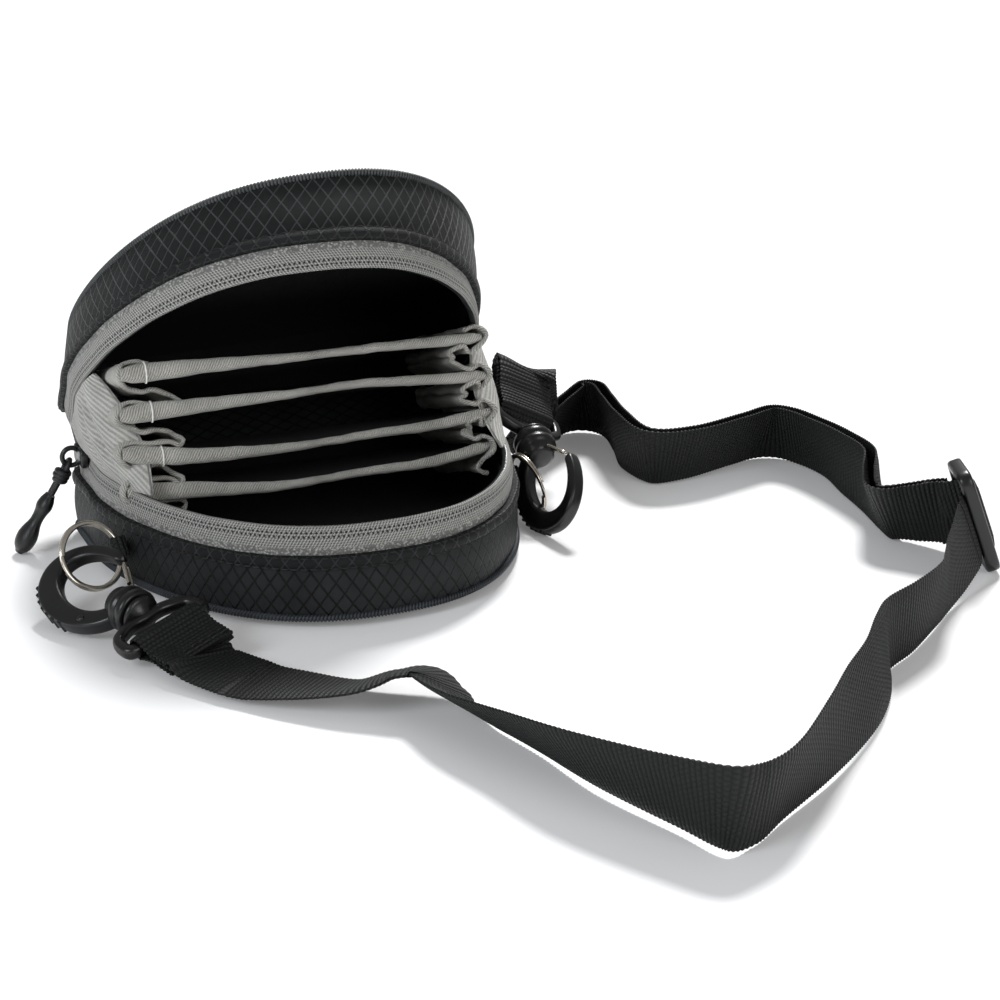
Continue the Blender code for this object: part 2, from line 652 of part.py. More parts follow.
def split_ring(name, pivot, reach, tangent):
    """Steel ring, its hinge at the point held by the tab."""
    outward = Vector(reach).normalized()
    along = Vector(tangent)
    along = (along - outward * along.dot(outward)).normalized()
    parent = pivot_empty(name + "_pivot", Vector(pivot))
    centre = Vector(pivot) + outward * RING_RADIUS
    rings = []
    steps = 36
    sides = 6
    for i in range(steps):
        turn = 2 * math.pi * i / steps
        spoke = outward * math.cos(turn) + along * math.sin(turn)
        normal = outward.cross(along)
        rings.append([centre + spoke * (RING_RADIUS + RING_WIRE * math.cos(a))
                      + normal * (RING_WIRE * math.sin(a))
                      for a in (2 * math.pi * j / sides for j in range(sides))])
    return loft(name, rings, steel(), closed=True, parent=parent)


def add_turned(bm, profile, steps=16):
    """Add a body turned about X from (along, radius) pairs."""
    rings = []
    for along, radius in profile:
        rings.append([Vector((along, radius * math.cos(a), radius * math.sin(a)))
                      for a in (2 * math.pi * j / steps for j in range(steps))])
    add_loft(bm, rings)


def hook_spine():
    """Centre line of the hook band, from the collar round to the nose."""
    points = []
    steps = 22
    for i in range(steps + 1):
        turn = math.radians(-16.0 - 262.0 * i / steps)
        points.append(Vector((HOOK_LENGTH / 2 * math.cos(turn) * 0.94,
                              HOOK_WIDTH / 2 * math.sin(turn), 0.0)))
    return points


def hook_body(name, placing, parent):
    """Moulded hook: a flat curved band that thins to the nose, and its collar."""
    bm = bmesh.new()
    spine = hook_spine()
    rings = []
    for i, point in enumerate(spine):
        share = i / (len(spine) - 1)
        ahead = (spine[min(i + 1, len(spine) - 1)] - spine[max(i - 1, 0)]).normalized()
        out = Vector((ahead.y, -ahead.x, 0.0))
        taper = 1.0 - (1.0 - HOOK_NOSE_SHARE) * max(0.0, share - 0.6) / 0.4
        half_band = HOOK_BAND / 2 * taper
        half_thick = HOOK_THICKNESS / 2 * (0.5 + 0.5 * taper)
        ring = []
        for j in range(8):
            turn = 2 * math.pi * (j + 0.5) / 8
            ring.append(point + out * (half_band * math.copysign(abs(math.cos(turn)) ** 0.6,
                                                                 math.cos(turn)))
                        + Vector((0.0, 0.0, half_thick * math.copysign(
                            abs(math.sin(turn)) ** 0.6, math.sin(turn)))))
        rings.append(ring)
    add_loft(bm, rings)
    band = finish_mesh(name, bm, acetal())
    bm = bmesh.new()
    end = HOOK_COLLAR_START + HOOK_COLLAR_LENGTH
    edge = HOOK_COLLAR_RADIUS * 0.12
    add_turned(bm, [(HOOK_COLLAR_START - HOOK_BAND * 0.6, HOOK_NECK_RADIUS),
                    (HOOK_COLLAR_START, HOOK_COLLAR_RADIUS - edge),
                    (HOOK_COLLAR_START + edge, HOOK_COLLAR_RADIUS),
                    (end - edge, HOOK_COLLAR_RADIUS), (end, HOOK_COLLAR_RADIUS - edge)])
    collar = finish_mesh(name + "_collar_tool", bm, acetal())
    join_with(band, collar)
    for i in range(GRIP_RIBS):
        share = (i + 2.5) / (GRIP_RIBS + 5)
        turn = math.radians(-60.0 - 110.0 * share)
        spot = Vector(((HOOK_LENGTH / 2 + HOOK_BAND * 0.42) * math.cos(turn) * 0.97,
                       (HOOK_WIDTH / 2 + HOOK_BAND * 0.42) * math.sin(turn), 0.0))
        rib = cylinder(name + f"_rib_tool_{i}", GRIP_RIB_RADIUS, HOOK_THICKNESS * 0.8,
                       spot, 8)
        join_with(band, rib)
    settle(band, placing, parent)
    return band


def cylinder(name, radius, length, place, sides):
    """A short round bar along Z."""
    bm = bmesh.new()
    bmesh.ops.create_cone(bm, cap_ends=True, segments=sides, radius1=radius, radius2=radius,
                          depth=length, matrix=Matrix.Translation(place))
    return finish_mesh(name, bm, acetal())


def join_with(base, tool):
    """Union a tool body into the base and hide the tool."""
    apply_boolean(base, tool, "UNION")


def apply_boolean(base, tool, operation):
    """Bake one Boolean into the base mesh, then drop the tool."""
    modifier = base.modifiers.new("cut", "BOOLEAN")
    modifier.operation = operation
    modifier.solver = "EXACT"
    modifier.object = tool
    bpy.context.view_layer.update()
    graph = bpy.context.evaluated_depsgraph_get()
    baked = bpy.data.meshes.new_from_object(base.evaluated_get(graph))
    base.modifiers.clear()
    base.data = baked
    bpy.data.objects.remove(tool, do_unlink=True)


def settle(obj, placing, parent):
    """Move a piece modelled at the origin to its place under its pivot."""
    if parent is None:
        obj.data.transform(placing)
        return
    obj.data.transform(Matrix.Translation(-parent.location) @ placing)
    obj.parent = parent


def swivel_eye(name, placing, bar_direction):
    """Eye that turns in the collar: a flange, a stem and a D loop for the webbing."""
    axis_x = placing.to_3x3() @ Vector((1.0, 0.0, 0.0))
    bar = Vector(bar_direction)
    own = frame_matrix(placing.translation, axis_x, bar)
    start = HOOK_COLLAR_START + HOOK_COLLAR_LENGTH + FIT_GAP
    bm = bmesh.new()
    edge = SWIVEL_FLANGE_THICKNESS * 0.3
    add_turned(bm, [(start, SWIVEL_FLANGE_RADIUS - edge), (start + edge, SWIVEL_FLANGE_RADIUS),
                    (start + SWIVEL_FLANGE_THICKNESS - edge, SWIVEL_FLANGE_RADIUS),
                    (start + SWIVEL_FLANGE_THICKNESS, SWIVEL_FLANGE_RADIUS - edge),
                    (start + SWIVEL_FLANGE_THICKNESS + EYE_WIRE, EYE_WIRE * 1.1)])
    flange = finish_mesh(name, bm, acetal())
    near = start + SWIVEL_FLANGE_THICKNESS + EYE_WIRE * 0.9
    far = near + EYE_DEPTH
    half = EYE_WIDTH / 2 - EYE_WIRE
    corners = []
    for depth_share, width_share in EYE_SHAPE_SHARES:
        corners.append((near + EYE_DEPTH * depth_share, half * width_share))
    path = [Vector((x, y, 0.0)) for x, y in corners]
    path += [Vector((x, -y, 0.0)) for x, y in corners[:0:-1]]
    loop = smooth_loop(path, 3)
    rings = []
    for i, point in enumerate(loop):
        ahead = (loop[(i + 1) % len(loop)] - loop[i - 1]).normalized()
        out = Vector((ahead.y, -ahead.x, 0.0))
        rings.append([point + out * (EYE_WIRE * math.cos(a))
                      + Vector((0.0, 0.0, EYE_WIRE * math.sin(a)))
                      for a in (2 * math.pi * j / 8 for j in range(8))])
    bm = bmesh.new()
    add_loft(bm, rings, closed=True)
    d_loop = finish_mesh(name + "_loop_tool", bm, acetal())
    join_with(flange, d_loop)
    settle(flange, own, None)
    return own, far


def smooth_loop(points, substeps):
    """A closed smooth curve through a ring of points."""
    result = []
    count = len(points)
    for i in range(count):
        p0, p1 = points[i - 1], points[i]
        p2, p3 = points[(i + 1) % count], points[(i + 2) % count]
        for k in range(substeps):
            t = k / substeps
            result.append(0.5 * ((2 * p1) + (p2 - p0) * t
                                 + (2 * p0 - 5 * p1 + 4 * p2 - p3) * t * t
                                 + (3 * p1 - p0 - 3 * p2 + p3) * t * t * t))
    return result


def wire_gate(name, placing, hook_pivot):
    """Sprung gate: one wire bent into a narrow U between the collar and the nose."""
    hinge_local = Vector((HOOK_COLLAR_START - HOOK_BAND * 0.6 - FIT_GAP - GATE_WIRE,
                          HOOK_NECK_RADIUS + FIT_GAP + GATE_WIRE, 0.0))
    nose = hook_spine()[-1]
    reach = (nose - hinge_local) * 0.72
    pivot = pivot_empty(name + "_pivot", placing @ hinge_local)
    tip = hinge_local + reach
    path = [hinge_local + Vector((0.0, 0.0, GATE_SPREAD)), tip + Vector((0.0, 0.0, GATE_SPREAD)),
            tip + reach.normalized() * GATE_SPREAD,
            tip - Vector((0.0, 0.0, GATE_SPREAD)), hinge_local - Vector((0.0, 0.0, GATE_SPREAD))]
    path = smooth_row(path, 3)
    rings = []
    side = Vector((-reach.y, reach.x, 0.0)).normalized()
    for i, point in enumerate(path):
        ahead = (path[min(i + 1, len(path) - 1)] - path[max(i - 1, 0)]).normalized()
        other = ahead.cross(side).normalized()
        rings.append([point + side * (GATE_WIRE * math.cos(a)) + other * (GATE_WIRE * math.sin(a))
                      for a in (2 * math.pi * j / 6 for j in range(6))])
    obj = loft(name, rings, steel())
    settle(obj, placing, pivot)
    return pivot


def web_fold(name, own, bar_at, tail_direction, tail_length, inner, thickness, width):
    """Webbing turned round a bar, its two layers sewn together beyond it."""
    centre = own @ Vector((bar_at, 0.0, 0.0))
    across = (own.to_3x3() @ Vector((0.0, 1.0, 0.0))).normalized()
    tail = Vector(tail_direction)
    tail = (tail - across * tail.dot(across)).normalized()
    normal = tail.cross(across)
    outer = inner + thickness
    steps = 14
    spread = math.radians(38.0)
    outside = []
    inside = []
    for i in range(steps + 1):
        turn = spread + (2 * math.pi - 2 * spread) * i / steps
        outside.append((outer * math.cos(turn), outer * math.sin(turn)))
        inside.append((inner * math.cos(turn), inner * math.sin(turn)))
    reach = outer + thickness * 2
    outside = ([(tail_length, thickness), (reach, thickness)] + outside
               + [(reach, -thickness), (tail_length, -thickness)])
    inside = [(inner * 1.5, 0.0)] + inside
    bm = bmesh.new()
    fronts = {}
    for side in (-1.0, 1.0):
        fronts[side] = [[bm.verts.new(centre + tail * u + normal * v
                                      + across * (side * width / 2)) for u, v in row]
                        for row in (outside, inside)]
    for row in (0, 1):
        near, far = fronts[-1.0][row], fronts[1.0][row]
        for i in range(len(near)):
            k = (i + 1) % len(near)
            bm.faces.new((near[i], near[k], far[k], far[i]))
    for side in (-1.0, 1.0):
        shell, hole = fronts[side]
        edges = []
        for row in (shell, hole):
            for i in range(len(row)):
                edges.append(bm.edges.get((row[i], row[(i + 1) % len(row)])))
        bmesh.ops.triangle_fill(bm, use_beauty=True, use_dissolve=False, edges=edges)
    return finish_mesh(name, bm, webbing(), smooth=False)


def tri_glide(name, placing):
    """Slider buckle: a rounded frame with two slots either side of a centre bar."""
    bm = bmesh.new()
    bmesh.ops.create_cube(bm, size=1.0)
    bmesh.ops.scale(bm, vec=(GLIDE_LENGTH, GLIDE_WIDTH, GLIDE_THICKNESS), verts=bm.verts)
    bmesh.ops.bevel(bm, geom=list(bm.edges), offset=GLIDE_FILLET, segments=2, affect="EDGES",
                    profile=0.5)
    frame = finish_mesh(name, bm, acetal())
    for side in (-1.0, 1.0):
        bm = bmesh.new()
        place = Vector((0.0, side * (GLIDE_BAR + GLIDE_SLOT_WIDTH) / 2, 0.0))
        bmesh.ops.create_cube(bm, size=1.0)
        bmesh.ops.scale(bm, vec=(GLIDE_SLOT_LENGTH, GLIDE_SLOT_WIDTH,
                                 GLIDE_THICKNESS + 2 * CUT_OVERRUN), verts=bm.verts)
        bmesh.ops.translate(bm, vec=place, verts=bm.verts)
        slot = finish_mesh(name + "_slot_tool", bm, acetal())
        apply_boolean(frame, slot, "DIFFERENCE")
    settle(frame, placing, None)
    return frame


def strap_wrap(name, placing):
    """Webbing that comes through one slot, over the centre bar and back through the other."""
    path = [placing @ Vector((0.0, across * MM, through * MM)) for through, across in WRAP_ROUTE]
    path = smooth_row(path, 2)
    up = placing.to_3x3() @ Vector((1.0, 0.0, 0.0))
    return loft(name, swept(path, [up] * len(path), WEB_WIDTH, WEB_THICKNESS), webbing())


def slider_block():
    """Zip slider with its wire eye, at the rear left end of the zip."""
    y = REAR_Y - SLIDER_FROM_REAR
    x = -HALF_WIDTH + TAPE_LEAN / 2 - SLIDER_THICKNESS / 2
    bm = bmesh.new()
    bmesh.ops.create_cube(bm, size=1.0)
    bmesh.ops.scale(bm, vec=(SLIDER_THICKNESS, SLIDER_LENGTH, SLIDER_HEIGHT), verts=bm.verts)
    bmesh.ops.translate(bm, vec=Vector((x, y, ZIP_LINE_HEIGHT)), verts=bm.verts)
    bmesh.ops.bevel(bm, geom=list(bm.edges), offset=SLIDER_THICKNESS * 0.3, segments=2,
                    affect="EDGES", profile=0.5)
    body = finish_mesh("zip_slider", bm, acetal())
    eye_centre = Vector((x - SLIDER_THICKNESS / 2 - SLIDER_EYE_RADIUS * 0.6, y, ZIP_LINE_HEIGHT))
    rings = []
    for i in range(16):
        turn = 2 * math.pi * i / 16
        spoke = Vector((math.cos(turn), 0.0, math.sin(turn)))
        rings.append([eye_centre + spoke * (SLIDER_EYE_RADIUS + SLIDER_EYE_WIRE * math.cos(a))
                      + Vector((0.0, SLIDER_EYE_WIRE * math.sin(a), 0.0))
                      for a in (2 * math.pi * j / 6 for j in range(6))])
    bm = bmesh.new()
    add_loft(bm, rings, closed=True)
    eye = finish_mesh("slider_eye_tool", bm, acetal())
    join_with(body, eye)
    return eye_centre


def zip_puller(eye_centre):
    """Cord loop through the slider's eye, and its moulded grip."""
    along = Vector(PULLER_REACH).normalized()
    radial = Vector((along.x, 0.0, along.z)).normalized()
    start = eye_centre + radial * SLIDER_EYE_RADIUS
    pivot = pivot_empty("puller_pivot", start)
    side = Vector((0.0, 1.0, 0.0))
    side = (side - along * side.dot(along)).normalized()
    third = along.cross(side)
    ring_radius = SLIDER_EYE_WIRE + FIT_GAP + PULLER_CORD_RADIUS
    spread = PULLER_CORD_RADIUS + FIT_GAP
    path = [start + along * PULLER_CORD + side * spread,
            start + along * (PULLER_CORD * 0.3) + side * spread,
            start + along * (ring_radius * 0.2) + side * ring_radius,
            start - along * ring_radius,
            start + along * (ring_radius * 0.2) - side * ring_radius,
            start + along * (PULLER_CORD * 0.3) - side * spread,
            start + along * PULLER_CORD - side * spread]
    path = smooth_row(path, 4)
    rings = []
    for i, point in enumerate(path):
        ahead = (path[min(i + 1, len(path) - 1)] - path[max(i - 1, 0)]).normalized()
        out = ahead.cross(third).normalized()
        rings.append([point + out * (PULLER_CORD_RADIUS * math.cos(a))
                      + third * (PULLER_CORD_RADIUS * math.sin(a))
                      for a in (2 * math.pi * j / 6 for j in range(6))])
    loft("puller_cord", rings, black_trim(), parent=pivot)
    grip_start = start + along * (PULLER_CORD + FIT_GAP)
    rings = []
    last = len(PULLER_WAIST_SHARES) - 1
    for i, share in enumerate(PULLER_WAIST_SHARES):
        centre = grip_start + along * (PULLER_TIP_LENGTH * i / last)
        radius = PULLER_TIP_RADIUS * share
        rings.append([centre + side * (radius * math.cos(a)) + third * (radius * 0.8 * math.sin(a))
                      for a in (2 * math.pi * j / 12 for j in range(12))])
    loft("puller_grip", rings, acetal(), parent=pivot)


def right_rise(own, bar_at, tail_direction, tail_length, far_end, far_ahead, far_up):
    """Double webbing that climbs from the ground to the right eye, turning a quarter."""
    across = (own.to_3x3() @ Vector((0.0, 1.0, 0.0))).normalized()
    tail = Vector(tail_direction)
    tail = (tail - across * tail.dot(across)).normalized()
    start = own @ Vector((bar_at, 0.0, 0.0)) + tail * (tail_length + FIT_GAP)
    route = [start, start + tail * WEB_THICKNESS]
    route += [Vector((x * MM + SIDE_SHIFT, y * MM, z * MM)) for x, y, z in RIGHT_RISE_ROUTE]
    middle = far_end + Vector((far_ahead.y, -far_ahead.x, 0.0)) * (STRAP_BACK_OFFSET / 2)
    route.append(middle + far_ahead * RISE_RUN_OUT + Vector((0.0, 0.0, RISE_LIFT)))
    route.append(middle + far_ahead * RISE_END_GAP)
    path = smooth_row(route, ROUTE_SUBSTEPS)
    ups = []
    for i in range(len(path)):
        share = i / (len(path) - 1)
        ease = share * share * (3 - 2 * share)
        ups.append((across * -(1.0 - ease) + far_up * ease).normalized())
    return loft("strap_rise", swept(path, ups, WEB_WIDTH, WEB_THICKNESS * 2), webbing())


def strap():
    """Long run from the left hook to the buckle, and the doubled run to the right hook."""
    path, ups = ground_route(STRAP_LONG_ROUTE, first_side=-1.0)
    loft("strap_long", swept(path, ups, WEB_WIDTH, WEB_THICKNESS), webbing())
    path, ups = ground_route(STRAP_FRONT_ROUTE)
    loft("strap_front_layer", swept(path, ups, WEB_WIDTH, WEB_THICKNESS), webbing())
    far_end = path[-1]
    far_ahead = (path[-1] - path[-2]).normalized()
    far_up = ups[-1]
    path, ups = ground_route(STRAP_FRONT_ROUTE, -STRAP_BACK_OFFSET)
    loft("strap_back_layer", swept(path, ups, WEB_WIDTH, WEB_THICKNESS), webbing())
    return far_end, far_ahead, far_up


def hook_set(prefix, place, axis, width_direction, bar_direction, tail_direction, tail_length):
    placing = frame_matrix(place, axis, width_direction)
    pivot = pivot_empty(prefix + "_hook_pivot", placing.translation)
    hook_body(prefix + "_hook", placing, pivot)
    wire_gate(prefix + "_gate", placing, pivot)
    own, bar_at = swivel_eye(prefix + "_eye", placing, bar_direction)
    web_fold(prefix + "_web_loop", own, bar_at, tail_direction, tail_length,
             EYE_WIRE + LOOP_CLEARANCE, WEB_THICKNESS, WEB_WIDTH)
    return own, bar_at


def build():
    clear_scene()
    half_shell("lower", None, PIPING_HEIGHT, LOWER_SEAM_HEIGHT, WALL_FLARE,
               LOWER_SEAM_HEIGHT, ZIP_LINE_HEIGHT, 1.0)
    lid_pivot = pivot_empty("lid_pivot", FOLD_POINT, fold_turn(LID_OPEN_DEG))
    half_shell("lid", lid_pivot, LID_PIPING_HEIGHT, LID_SEAM_HEIGHT, LID_FLARE,
               LID_SEAM_HEIGHT, ZIP_LINE_HEIGHT + FIT_GAP, -1.0)
    spine_panel()
    for index in range(len(DIVIDER_HEIGHTS)):
        divider(index)
    gusset("left_gusset", -1.0)
    gusset("right_gusset", 1.0)
    felt_panel("left_felt_side", -1.0)
    felt_panel("right_felt_side", 1.0)
    web_tab("left_tab", LEFT_RING_PIVOT, LEFT_RING_REACH, LEFT_RING_TANGENT, LEFT_TAB_TAIL)
    web_tab("right_tab", RIGHT_RING_PIVOT, RIGHT_RING_REACH, RIGHT_RING_TANGENT,
            RIGHT_TAB_TAIL)
    split_ring("left_ring", LEFT_RING_PIVOT, LEFT_RING_REACH, LEFT_RING_TANGENT)
    split_ring("right_ring", RIGHT_RING_PIVOT, RIGHT_RING_REACH, RIGHT_RING_TANGENT)
    eye_centre = slider_block()
    zip_puller(eye_centre)
    far_end, far_ahead, far_up = strap()
    hook_set("left", LEFT_HOOK_PLACE, LEFT_HOOK_AXIS, LEFT_HOOK_WIDTH_DIRECTION,
             LEFT_BAR_DIRECTION, LEFT_TAIL_DIRECTION, LEFT_TAIL_LENGTH)
    own, bar_at = hook_set("right", RIGHT_HOOK_PLACE, RIGHT_HOOK_AXIS,
                           RIGHT_HOOK_WIDTH_DIRECTION, RIGHT_BAR_DIRECTION,
                           RIGHT_TAIL_DIRECTION, RIGHT_TAIL_LENGTH)
    right_rise(own, bar_at, RIGHT_TAIL_DIRECTION, RIGHT_TAIL_LENGTH, far_end, far_ahead, far_up)
    glide_frame = frame_matrix(GLIDE_PLACE, GLIDE_LONG_DIRECTION, GLIDE_ACROSS_DIRECTION)
    tri_glide("tri_glide", glide_frame)
    strap_wrap("strap_wrap", glide_frame)


build()
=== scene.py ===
"""Zip case with fanned pockets, two snap hooks and a webbing strap, dressed for the camera.

Metres, +Z up, in the frame of the CAD model. X runs across the mouth, which looks to -Y.
"""
import bpy
import bmesh
import math
import numpy as np
from mathutils import Matrix, Vector, noise


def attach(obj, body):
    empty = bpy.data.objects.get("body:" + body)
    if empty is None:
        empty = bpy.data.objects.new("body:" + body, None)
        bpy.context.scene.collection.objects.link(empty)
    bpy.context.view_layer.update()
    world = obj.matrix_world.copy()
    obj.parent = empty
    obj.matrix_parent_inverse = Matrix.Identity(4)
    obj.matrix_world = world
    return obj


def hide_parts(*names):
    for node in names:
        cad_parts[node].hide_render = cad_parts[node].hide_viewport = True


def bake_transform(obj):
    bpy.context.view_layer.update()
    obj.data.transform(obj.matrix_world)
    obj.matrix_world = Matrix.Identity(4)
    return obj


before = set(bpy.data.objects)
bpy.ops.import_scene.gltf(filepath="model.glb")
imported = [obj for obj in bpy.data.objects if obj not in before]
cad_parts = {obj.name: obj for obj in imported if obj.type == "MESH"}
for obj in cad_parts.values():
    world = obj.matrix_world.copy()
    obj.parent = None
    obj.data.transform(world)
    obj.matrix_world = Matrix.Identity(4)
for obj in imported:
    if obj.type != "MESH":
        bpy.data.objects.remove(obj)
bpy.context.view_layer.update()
MM = 0.001
UP = (0.0, 0.0, 1.0)
WHITE = (1.0, 1.0, 1.0, 1.0)
CAMERA_PLACE = Vector((-171.6, -510.5, 206.6)) * MM
CAMERA_AIM = Vector((55.20, 2.035, 8.136)) * MM
LAMP_AIM = Vector((30.0, -20.0, 20.0)) * MM

# Case outline and heights, as in the CAD
HALF_WIDTH = 60.4 * MM
REAR_Y = 52.0 * MM
CASE_DEPTH = 104.0 * MM
STRAIGHT_SIDE = 30.6 * MM
REAR_CORNER_RADIUS = 8.0 * MM
FRONT_ROUNDNESS = 2.35
SIDE_ROUNDNESS = 1.67
PERIMETER_POINTS = 330
PIPING_HEIGHT = 2.9 * MM
PIPING_OUTSET = 1.1 * MM
LOWER_SEAM = 19.8 * MM
ZIP_LINE = 27.7 * MM
LID_SEAM = 35.4 * MM
LID_PIPING = 54.4 * MM
ZIP_END_FROM_REAR = 10.0 * MM
FOLD_POINT = np.array((0.0, 52.0, 22.0)) * MM
FOLD_AXIS = np.array((math.cos(math.radians(8.0)), 0.0, math.sin(math.radians(8.0))))
LID_OPEN_DEG = 38.0

# Cloth, hem and seams of a half: sections are (outset, height) pairs in millimetres, waves are
# (depth, size, seed), and the crown is (share of the outline, share of the rise) pairs
WALL_THICKNESS = 1.9 * MM
TAPE_THICKNESS = 0.75 * MM
CORE_RADIUS = 0.72 * MM
STITCH_STEP = 2.6 * MM
COIL_STEP = 1.3 * MM
WRAP_STEP = 0.95 * MM
HEM_SECTION = ((0.2, -3.3), (1.15, -3.2), (1.75, -2.7), (1.95, -1.9), (1.9, -1.0), (1.5, -0.3),
               (0.9, 0.05), (0.1, 0.1), (0.0, -1.6))
HEM_WAVE = (0.35 * MM, 9 * MM, 5.0)
TAPE_WAVE = (0.3 * MM, 12 * MM, 9.0)
PANEL_CROWN = ((1.0, 1.0), (0.985, 0.86), (0.95, 0.62), (0.88, 0.34), (0.76, 0.14), (0.6, 0.04),
               (0.4, 0.0), (0.2, 0.0), (0.0, 0.0))

# Pages of the pocket fan, from the lowest to the highest
PAGE_HEIGHTS = np.array((12.0, 21.5, 31.5, 42.0)) * MM
PAGE_OPEN_DEG = np.array((16.5, 17.0, 17.5, 18.0))
PAGE_REACH = np.array((52.5, 54.0, 56.0, 59.0)) * MM
PAGE_LEFT = np.array((54.6, 54.8, 54.6, 53.4)) * MM
PAGE_RIGHT = np.array((52.4, 52.8, 52.0, 50.6)) * MM
PAGE_SAG = np.array((3.6, 3.4, -1.2, 0.6)) * MM
PAGE_ROOT_Y = 43.0 * MM
BINDING_HALF = 1.9 * MM
# Creases of the felt sides: place along them, depth in millimetres, width and slope
FELT_CREASES = ((0.22, 1.1, 0.022, 0.05), (0.40, 1.5, 0.03, -0.07), (0.62, 1.2, 0.025, 0.06),
                (0.80, 1.7, 0.03, -0.04))
FELT_THICKNESS = 0.8 * MM
POCKET_THICKNESS = 0.7 * MM

# Webbing
WEB_WIDTH = 20.0 * MM
WEB_THICKNESS = 1.3 * MM
RIB_PITCH = 1.25 * MM
LAYER_OFFSET = 3.4 * MM
FLOOR_CLEARANCE = 0.3 * MM
SELVEDGE_BEAD = 0.3 * MM
RISE_LAYER = 1.32 * MM


def colour(code):
    """An sRGB hex value as the linear colour that a node takes."""
    parts = [int(code[i:i + 2], 16) / 255 for i in (1, 3, 5)]
    return (*[c / 12.92 if c <= 0.04045 else ((c + 0.055) / 1.055) ** 2.4 for c in parts], 1.0)


# ---- Camera, floor and lights

def linked(name, data):
    """A new object in the scene."""
    obj = bpy.data.objects.new(name, data)
    bpy.context.collection.objects.link(obj)
    return obj


def facing(direction):
    """The turn that points a camera or a lamp along a direction."""
    return Vector(direction).to_track_quat("-Z", "Y").to_euler()


def studio():
    """Camera at the photograph's angle, one key lamp and two soft ones."""
    lens = bpy.data.cameras.new("camera")
    lens.lens, lens.sensor_width, lens.sensor_fit = 72.0, 36.0, "HORIZONTAL"
    camera = linked("camera", lens)
    camera.location = CAMERA_PLACE
    camera.rotation_euler = facing(CAMERA_AIM - CAMERA_PLACE)
    bpy.context.scene.camera = camera
    sun = bpy.data.lights.new("key_sun", "SUN")
    sun.energy, sun.angle = 3.7, math.radians(13.0)
    linked("key_sun", sun).rotation_euler = facing((-0.34, -0.52, -0.78))
    for name, place, size, watts, tint in (
            ("left_lamp", (-0.75, -0.35, 0.50), 0.40, 3.4, "#f4f8ff"),
            ("front_lamp", (0.30, -0.95, 0.45), 0.50, 2.4, "#ffffff")):
        lamp = bpy.data.lights.new(name, "AREA")
        lamp.shape, lamp.size, lamp.energy = "DISK", size, watts
        lamp.color = colour(tint)[:3]
        obj = linked(name, lamp)
        obj.location = place
        obj.rotation_euler = facing(LAMP_AIM - Vector(place))
    bpy.context.scene.view_settings.view_transform = "Standard"


def room():
    """Pale floor just below the case, and a world that looks white and lights softly."""
    bpy.ops.mesh.primitive_plane_add(size=6.0, location=(0.0, 0.0, -0.2 * MM))
    floor = bpy.context.object
    floor.name = "studio_floor"
    floor.data.materials.append(studio_floor())
    world = bpy.data.worlds.new("studio_world")
    bpy.context.scene.world = world
    world.use_nodes = True
    tree = world.node_tree
    seen = add(tree, "ShaderNodeLightPath", out="Is Camera Ray")
    feed(tree, tree.nodes["Background"], {
        "Color": WHITE, "Strength": add(tree, RANGE, (seen, 0.0, 1.0, 0.3, 1.0))})


# ---- Shader nodes

MATH = "ShaderNodeMath"
MIX = "ShaderNodeMix"
RANGE = "ShaderNodeMapRange"
NOISE = "ShaderNodeTexNoise"


def feed(tree, node, feeds):
    """Put links and values into a node's sockets."""
    for key, value in feeds.items() if isinstance(feeds, dict) else enumerate(feeds):
        if isinstance(value, bpy.types.NodeSocket):
            tree.links.new(value, node.inputs[key])
        elif value is not None:
            node.inputs[key].default_value = value


def add(tree, kind, feeds=(), out=0, **settings):
    """One node with its settings, and what goes into its sockets."""
    made = tree.nodes.new(kind)
    for name, value in settings.items():
        setattr(made, name, value)
    feed(tree, made, feeds)
    return made.outputs[out]


def new_finish(name):
    """An empty node material with its shader: (material, tree, shader)."""
    made = bpy.data.materials.new(name)
    made.use_nodes = True
    tree = made.node_tree
    return made, tree, tree.nodes["Principled BSDF"]


def relief(tree, height, distance):
    """A bump of a real depth."""
    return add(tree, "ShaderNodeBump", {"Height": height, "Distance": distance, "Strength": 1.0})


def between(tree, share, dark, light):
    """Two colours mixed by a share; each is an sRGB value or a socket."""
    dark, light = (colour(c) if isinstance(c, str) else c for c in (dark, light))
    return add(tree, MIX, {0: share, 6: dark, 7: light}, out=2, data_type="RGBA")


def thread_wave(tree, distance, pitch):
    """Threads side by side at a pitch, as a wave from -1 to 1."""
    turned_by = add(tree, MATH, (distance, 2 * math.pi / pitch), operation="MULTIPLY")
    return add(tree, MATH, (turned_by,), operation="SINE")


def cloth_axes(tree):
    """The piece's own UV map in millimetres: along and across the cloth."""
    uv = add(tree, "ShaderNodeUVMap", uv_map="cloth")
    grown = add(tree, "ShaderNodeVectorMath", {0: uv, "Scale": 1000.0}, operation="SCALE")
    split = tree.nodes.new("ShaderNodeSeparateXYZ")
    feed(tree, split, (grown,))
    return grown, split.outputs[0], split.outputs[1]


